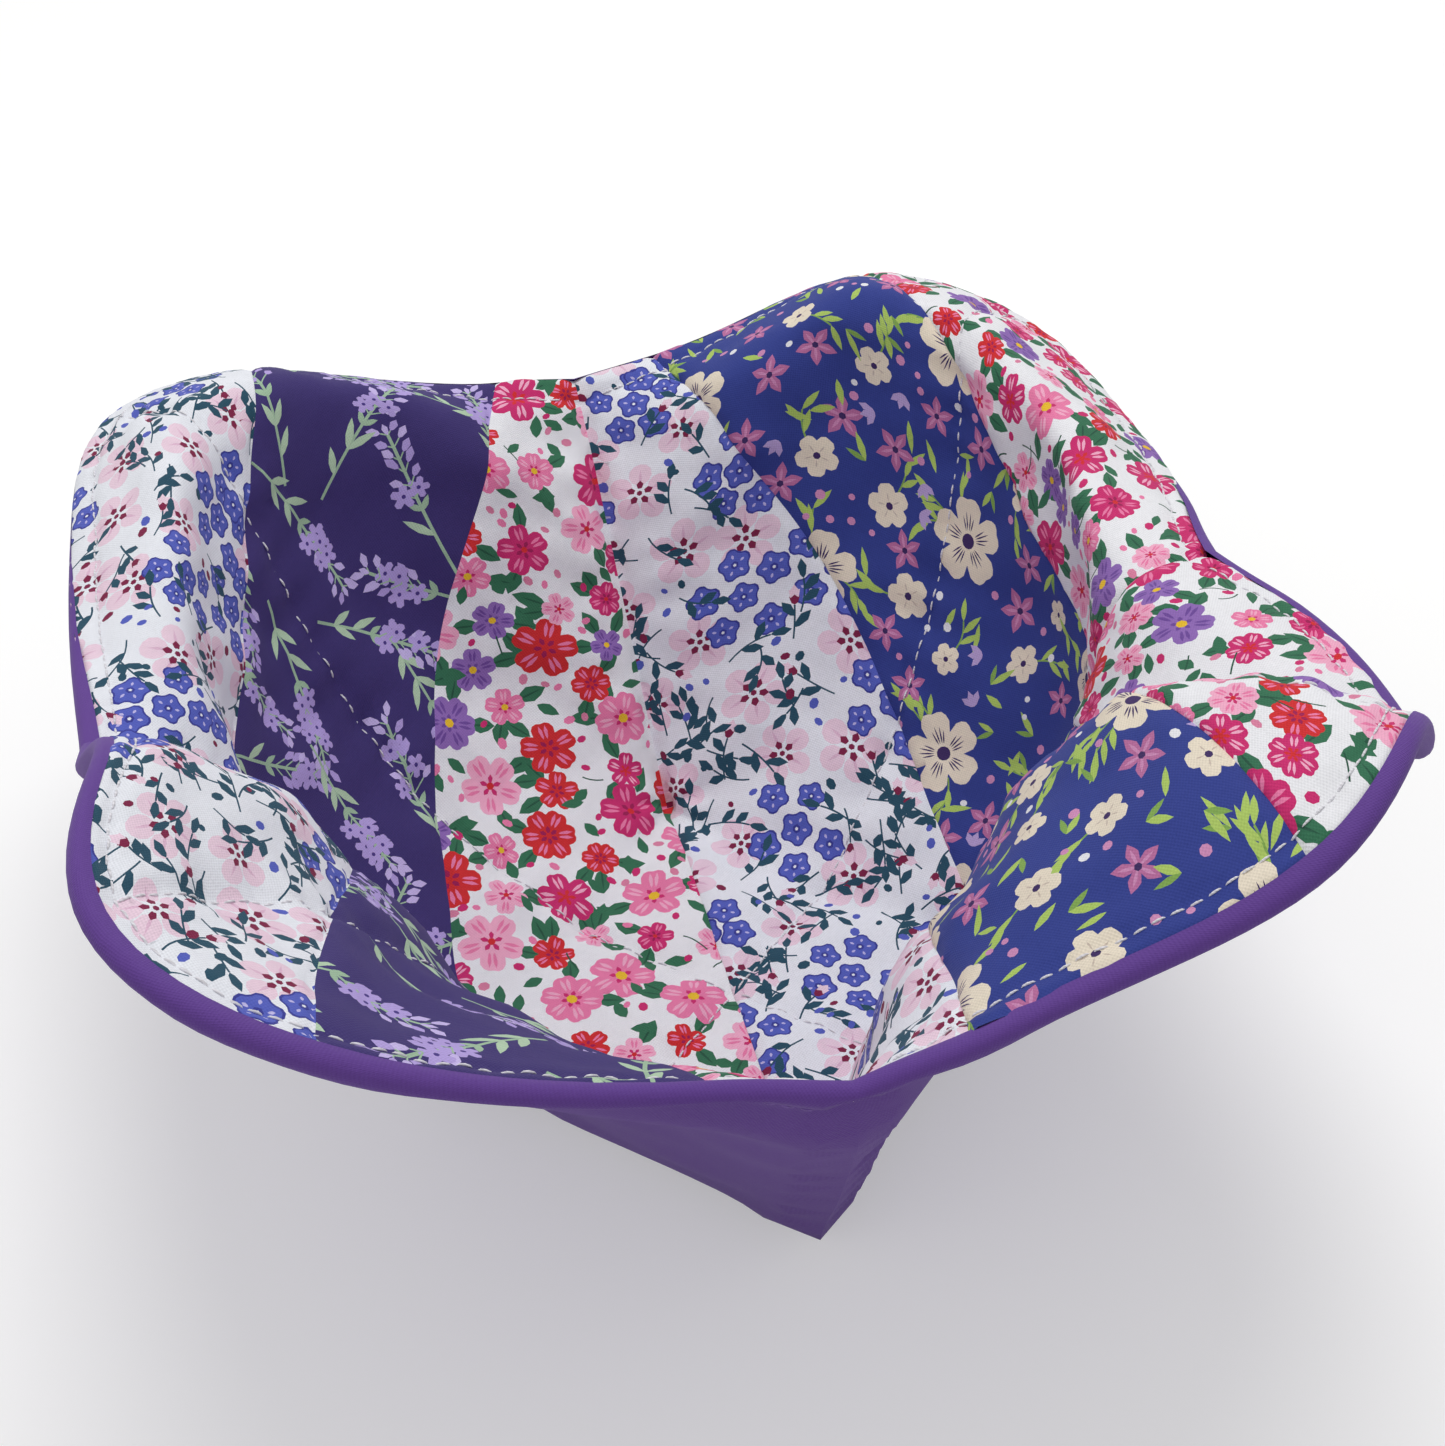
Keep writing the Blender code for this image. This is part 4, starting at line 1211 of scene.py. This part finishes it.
def stitch_tree():
    """Stitches one after another along a line, each turned along it and to the cloth's own facing."""
    tree = bpy.data.node_groups.new("stitch_row", "GeometryNodeTree")
    socket(tree, "INPUT", "Geometry", "Geometry")
    socket(tree, "INPUT", "Stitch", "Object")
    socket(tree, "INPUT", "Half Length", "Float")
    socket(tree, "INPUT", "Thread Radius", "Float")
    socket(tree, "INPUT", "Thread", "Material")
    socket(tree, "OUTPUT", "Geometry", "Geometry")
    given, result = tree.nodes.new("NodeGroupInput").outputs, tree.nodes.new("NodeGroupOutput")

    def attribute(name):
        kind = "GeometryNodeInputNamedAttribute"
        return add(tree, kind, {"Name": name}, data_type="FLOAT_VECTOR").outputs["Attribute"]

    def step(kind, inputs, **settings):
        return add(tree, kind, inputs, **settings).outputs[0]

    turn = "FunctionNodeAlignRotationToVector"
    along = step(turn, {"Vector": attribute("heading")}, axis="X")
    upright = step(turn, {"Rotation": along, "Vector": attribute("facing")}, axis="Z", pivot_axis="X")
    shape = add(tree, "GeometryNodeObjectInfo", {"Object": given["Stitch"]}).outputs["Geometry"]
    girth = given["Thread Radius"]
    size = step("ShaderNodeCombineXYZ", {"X": given["Half Length"], "Y": girth, "Z": girth})
    points = step("GeometryNodeMeshToPoints", {"Mesh": given["Geometry"]})
    row = {"Points": points, "Instance": shape, "Rotation": upright, "Scale": size}
    real = step("GeometryNodeRealizeInstances", {0: step("GeometryNodeInstanceOnPoints", row)})
    finish = step("GeometryNodeSetMaterial", {"Geometry": real, "Material": given["Thread"]})
    plug(tree, result, {"Geometry": finish})
    return tree


STITCH = stitch_shape()
STITCH_TREE = stitch_tree()


def stitch_row(name, lines, places, material):
    """Sewn rows: each flat line laid in place, with a stitch at every step."""
    spots, headings, facings = [], [], []
    for line in lines:
        line = np.array(line)
        lengths = np.concatenate(((0,), np.cumsum(np.linalg.norm(np.diff(line, axis=0), axis=1))))
        count = int(lengths[-1] / STITCH_STEP)
        where = (np.arange(count) + 0.5) * lengths[-1] / count
        flat, after, before = (
            np.stack([np.interp(where + off, lengths, line[:, i]) for i in range(2)], axis=1)
            for off in (0, HEADING_STEP, -HEADING_STEP)
        )
        spots.append(places(flat, STITCH_LIFT))
        headings.append(unit(places(after) - places(before)))
        facings.append(unit(places(flat, MM) - places(flat)))
    points = bpy.data.meshes.new(name)
    points.from_pydata(np.vstack(spots).tolist(), [], [])
    for key, values in (("heading", headings), ("facing", facings)):
        layer = points.attributes.new(key, "FLOAT_VECTOR", "POINT")
        layer.data.foreach_set("vector", np.vstack(values).ravel())
    seed = new_piece(f"{name}_points", points)
    modifier = seed.modifiers.new("stitches", "NODES")
    modifier.node_group = STITCH_TREE
    settings = {"Stitch": STITCH, "Half Length": HALF_STITCH}
    settings |= {"Thread Radius": THREAD_RADIUS, "Thread": material}
    for item in STITCH_TREE.interface.items_tree:
        if item.in_out == "INPUT" and item.name in settings:
            modifier[item.identifier] = settings[item.name]
    bpy.context.view_layer.update()
    ready = seed.evaluated_get(bpy.context.evaluated_depsgraph_get())
    mesh = bpy.data.meshes.new_from_object(ready)
    mesh.name = name
    bpy.data.objects.remove(seed)
    piece = new_piece(name, mesh)
    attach(piece, "root")


def clear_of_darts(line):
    return [p for p in line if dart_distance(np.array((p,)))[0] > DART_CLEARANCE]


def stitches():
    """Topstitch all round, on both faces, and the quilting lines from corner to corner of the lining."""
    white = thread_material("white_thread", (236, 234, 240))
    purple = thread_material("purple_thread", (120, 84, 168))
    round_the_rim = [clear_of_darts(rim_line(quarter, STITCH_INSET, 2 * MM)) for quarter in range(4)]
    corner = HALF_SQUARE - CORNER_RADIUS + (CORNER_RADIUS - STITCH_INSET) / ROOT2
    diagonals = [np.linspace((-corner, -corner * side), (corner, corner * side), 160) for side in (1, -1)]
    stitch_row("rim_topstitch", round_the_rim, lining_places, white)
    stitch_row("lining_quilting", diagonals, lining_places, white)
    stitch_row("outer_topstitch", round_the_rim, outer_places, purple)


# Studio

CAMERA_PLACE = Vector((-0.06086, -0.25695, 0.25503))
CAMERA_AZIMUTH = math.radians(13.09)
CAMERA_DROP = math.radians(37.06)
CAMERA_ROLL = math.radians(-0.8)
CAMERA_LENS = 60.25
LIT_PLACE = Vector((0, 0, 0.05))
FLOOR_HALF = 3
FLOOR_COLOUR = 0.72, 0.72, 0.71, 1
FLOOR_GLOW = 0.34
WORLD_LIGHT = 0.5
WHITE = 1, 1, 1, 1


def camera():
    data = bpy.data.cameras.new("camera")
    data.lens = CAMERA_LENS
    data.sensor_width = 36
    data.clip_start = 0.01
    made = new_piece("camera", data)
    turn = Matrix.Rotation(-CAMERA_AZIMUTH, 4, "Z") @ Matrix.Rotation(math.pi / 2 - CAMERA_DROP, 4, "X")
    made.matrix_world = Matrix.Translation(CAMERA_PLACE) @ turn @ Matrix.Rotation(CAMERA_ROLL, 4, "Z")
    bpy.context.scene.camera = made


def lamp(name, place, size, power):
    data = bpy.data.lights.new(name, "AREA")
    data.shape = "DISK"
    data.size = size
    data.energy = power
    made = new_piece(name, data)
    made.location = place
    made.rotation_euler = (LIT_PLACE - Vector(place)).to_track_quat("-Z", "Y").to_euler()


def seen_white(tree, base, seen=1):
    """A value for what the camera, a reflection or glass sees, and a base value for all else."""
    path = add(tree, "ShaderNodeLightPath").outputs
    total = path["Is Camera Ray"]
    for name in ("Is Glossy Ray", "Is Transmission Ray"):
        total = add(tree, "ShaderNodeMath", {0: total, 1: path[name]}, operation="MAXIMUM").outputs[0]
    return add(tree, "ShaderNodeMapRange", {"Value": total, "To Min": base, "To Max": seen}).outputs[0]


def studio():
    """A pale floor under soft, plain light."""
    mesh = bpy.data.meshes.new("floor")
    corners = [(x * FLOOR_HALF, y * FLOOR_HALF, 0) for x, y in ((-1, -1), (1, -1), (1, 1), (-1, 1))]
    mesh.from_pydata(corners, [], [(0, 1, 2, 3)])
    paper, tree, shader = new_material("floor_paper")
    looks = {"Base Color": FLOOR_COLOUR, "Roughness": 0.9, "Emission Color": WHITE}
    plug(tree, shader, {**looks, "Emission Strength": seen_white(tree, 0, FLOOR_GLOW)})
    mesh.materials.append(paper)
    new_piece("floor", mesh)

    world = bpy.data.worlds.new("studio")
    world.use_nodes = True
    light = {"Color": WHITE, "Strength": seen_white(world.node_tree, WORLD_LIGHT)}
    plug(world.node_tree, world.node_tree.nodes["Background"], light)
    bpy.context.scene.world = world
    lamp("overhead", (0.1, 0.3, 0.95), size=0.6, power=4.4)
    lamp("front_left", (-0.8, -0.7, 0.75), size=0.8, power=1.2)


camera()
for number in range(STRIP_COUNT):
    lining_strip(number)
outer_cloth()
pads()
stitches()
studio()
bpy.context.scene.view_settings.view_transform = "Standard"
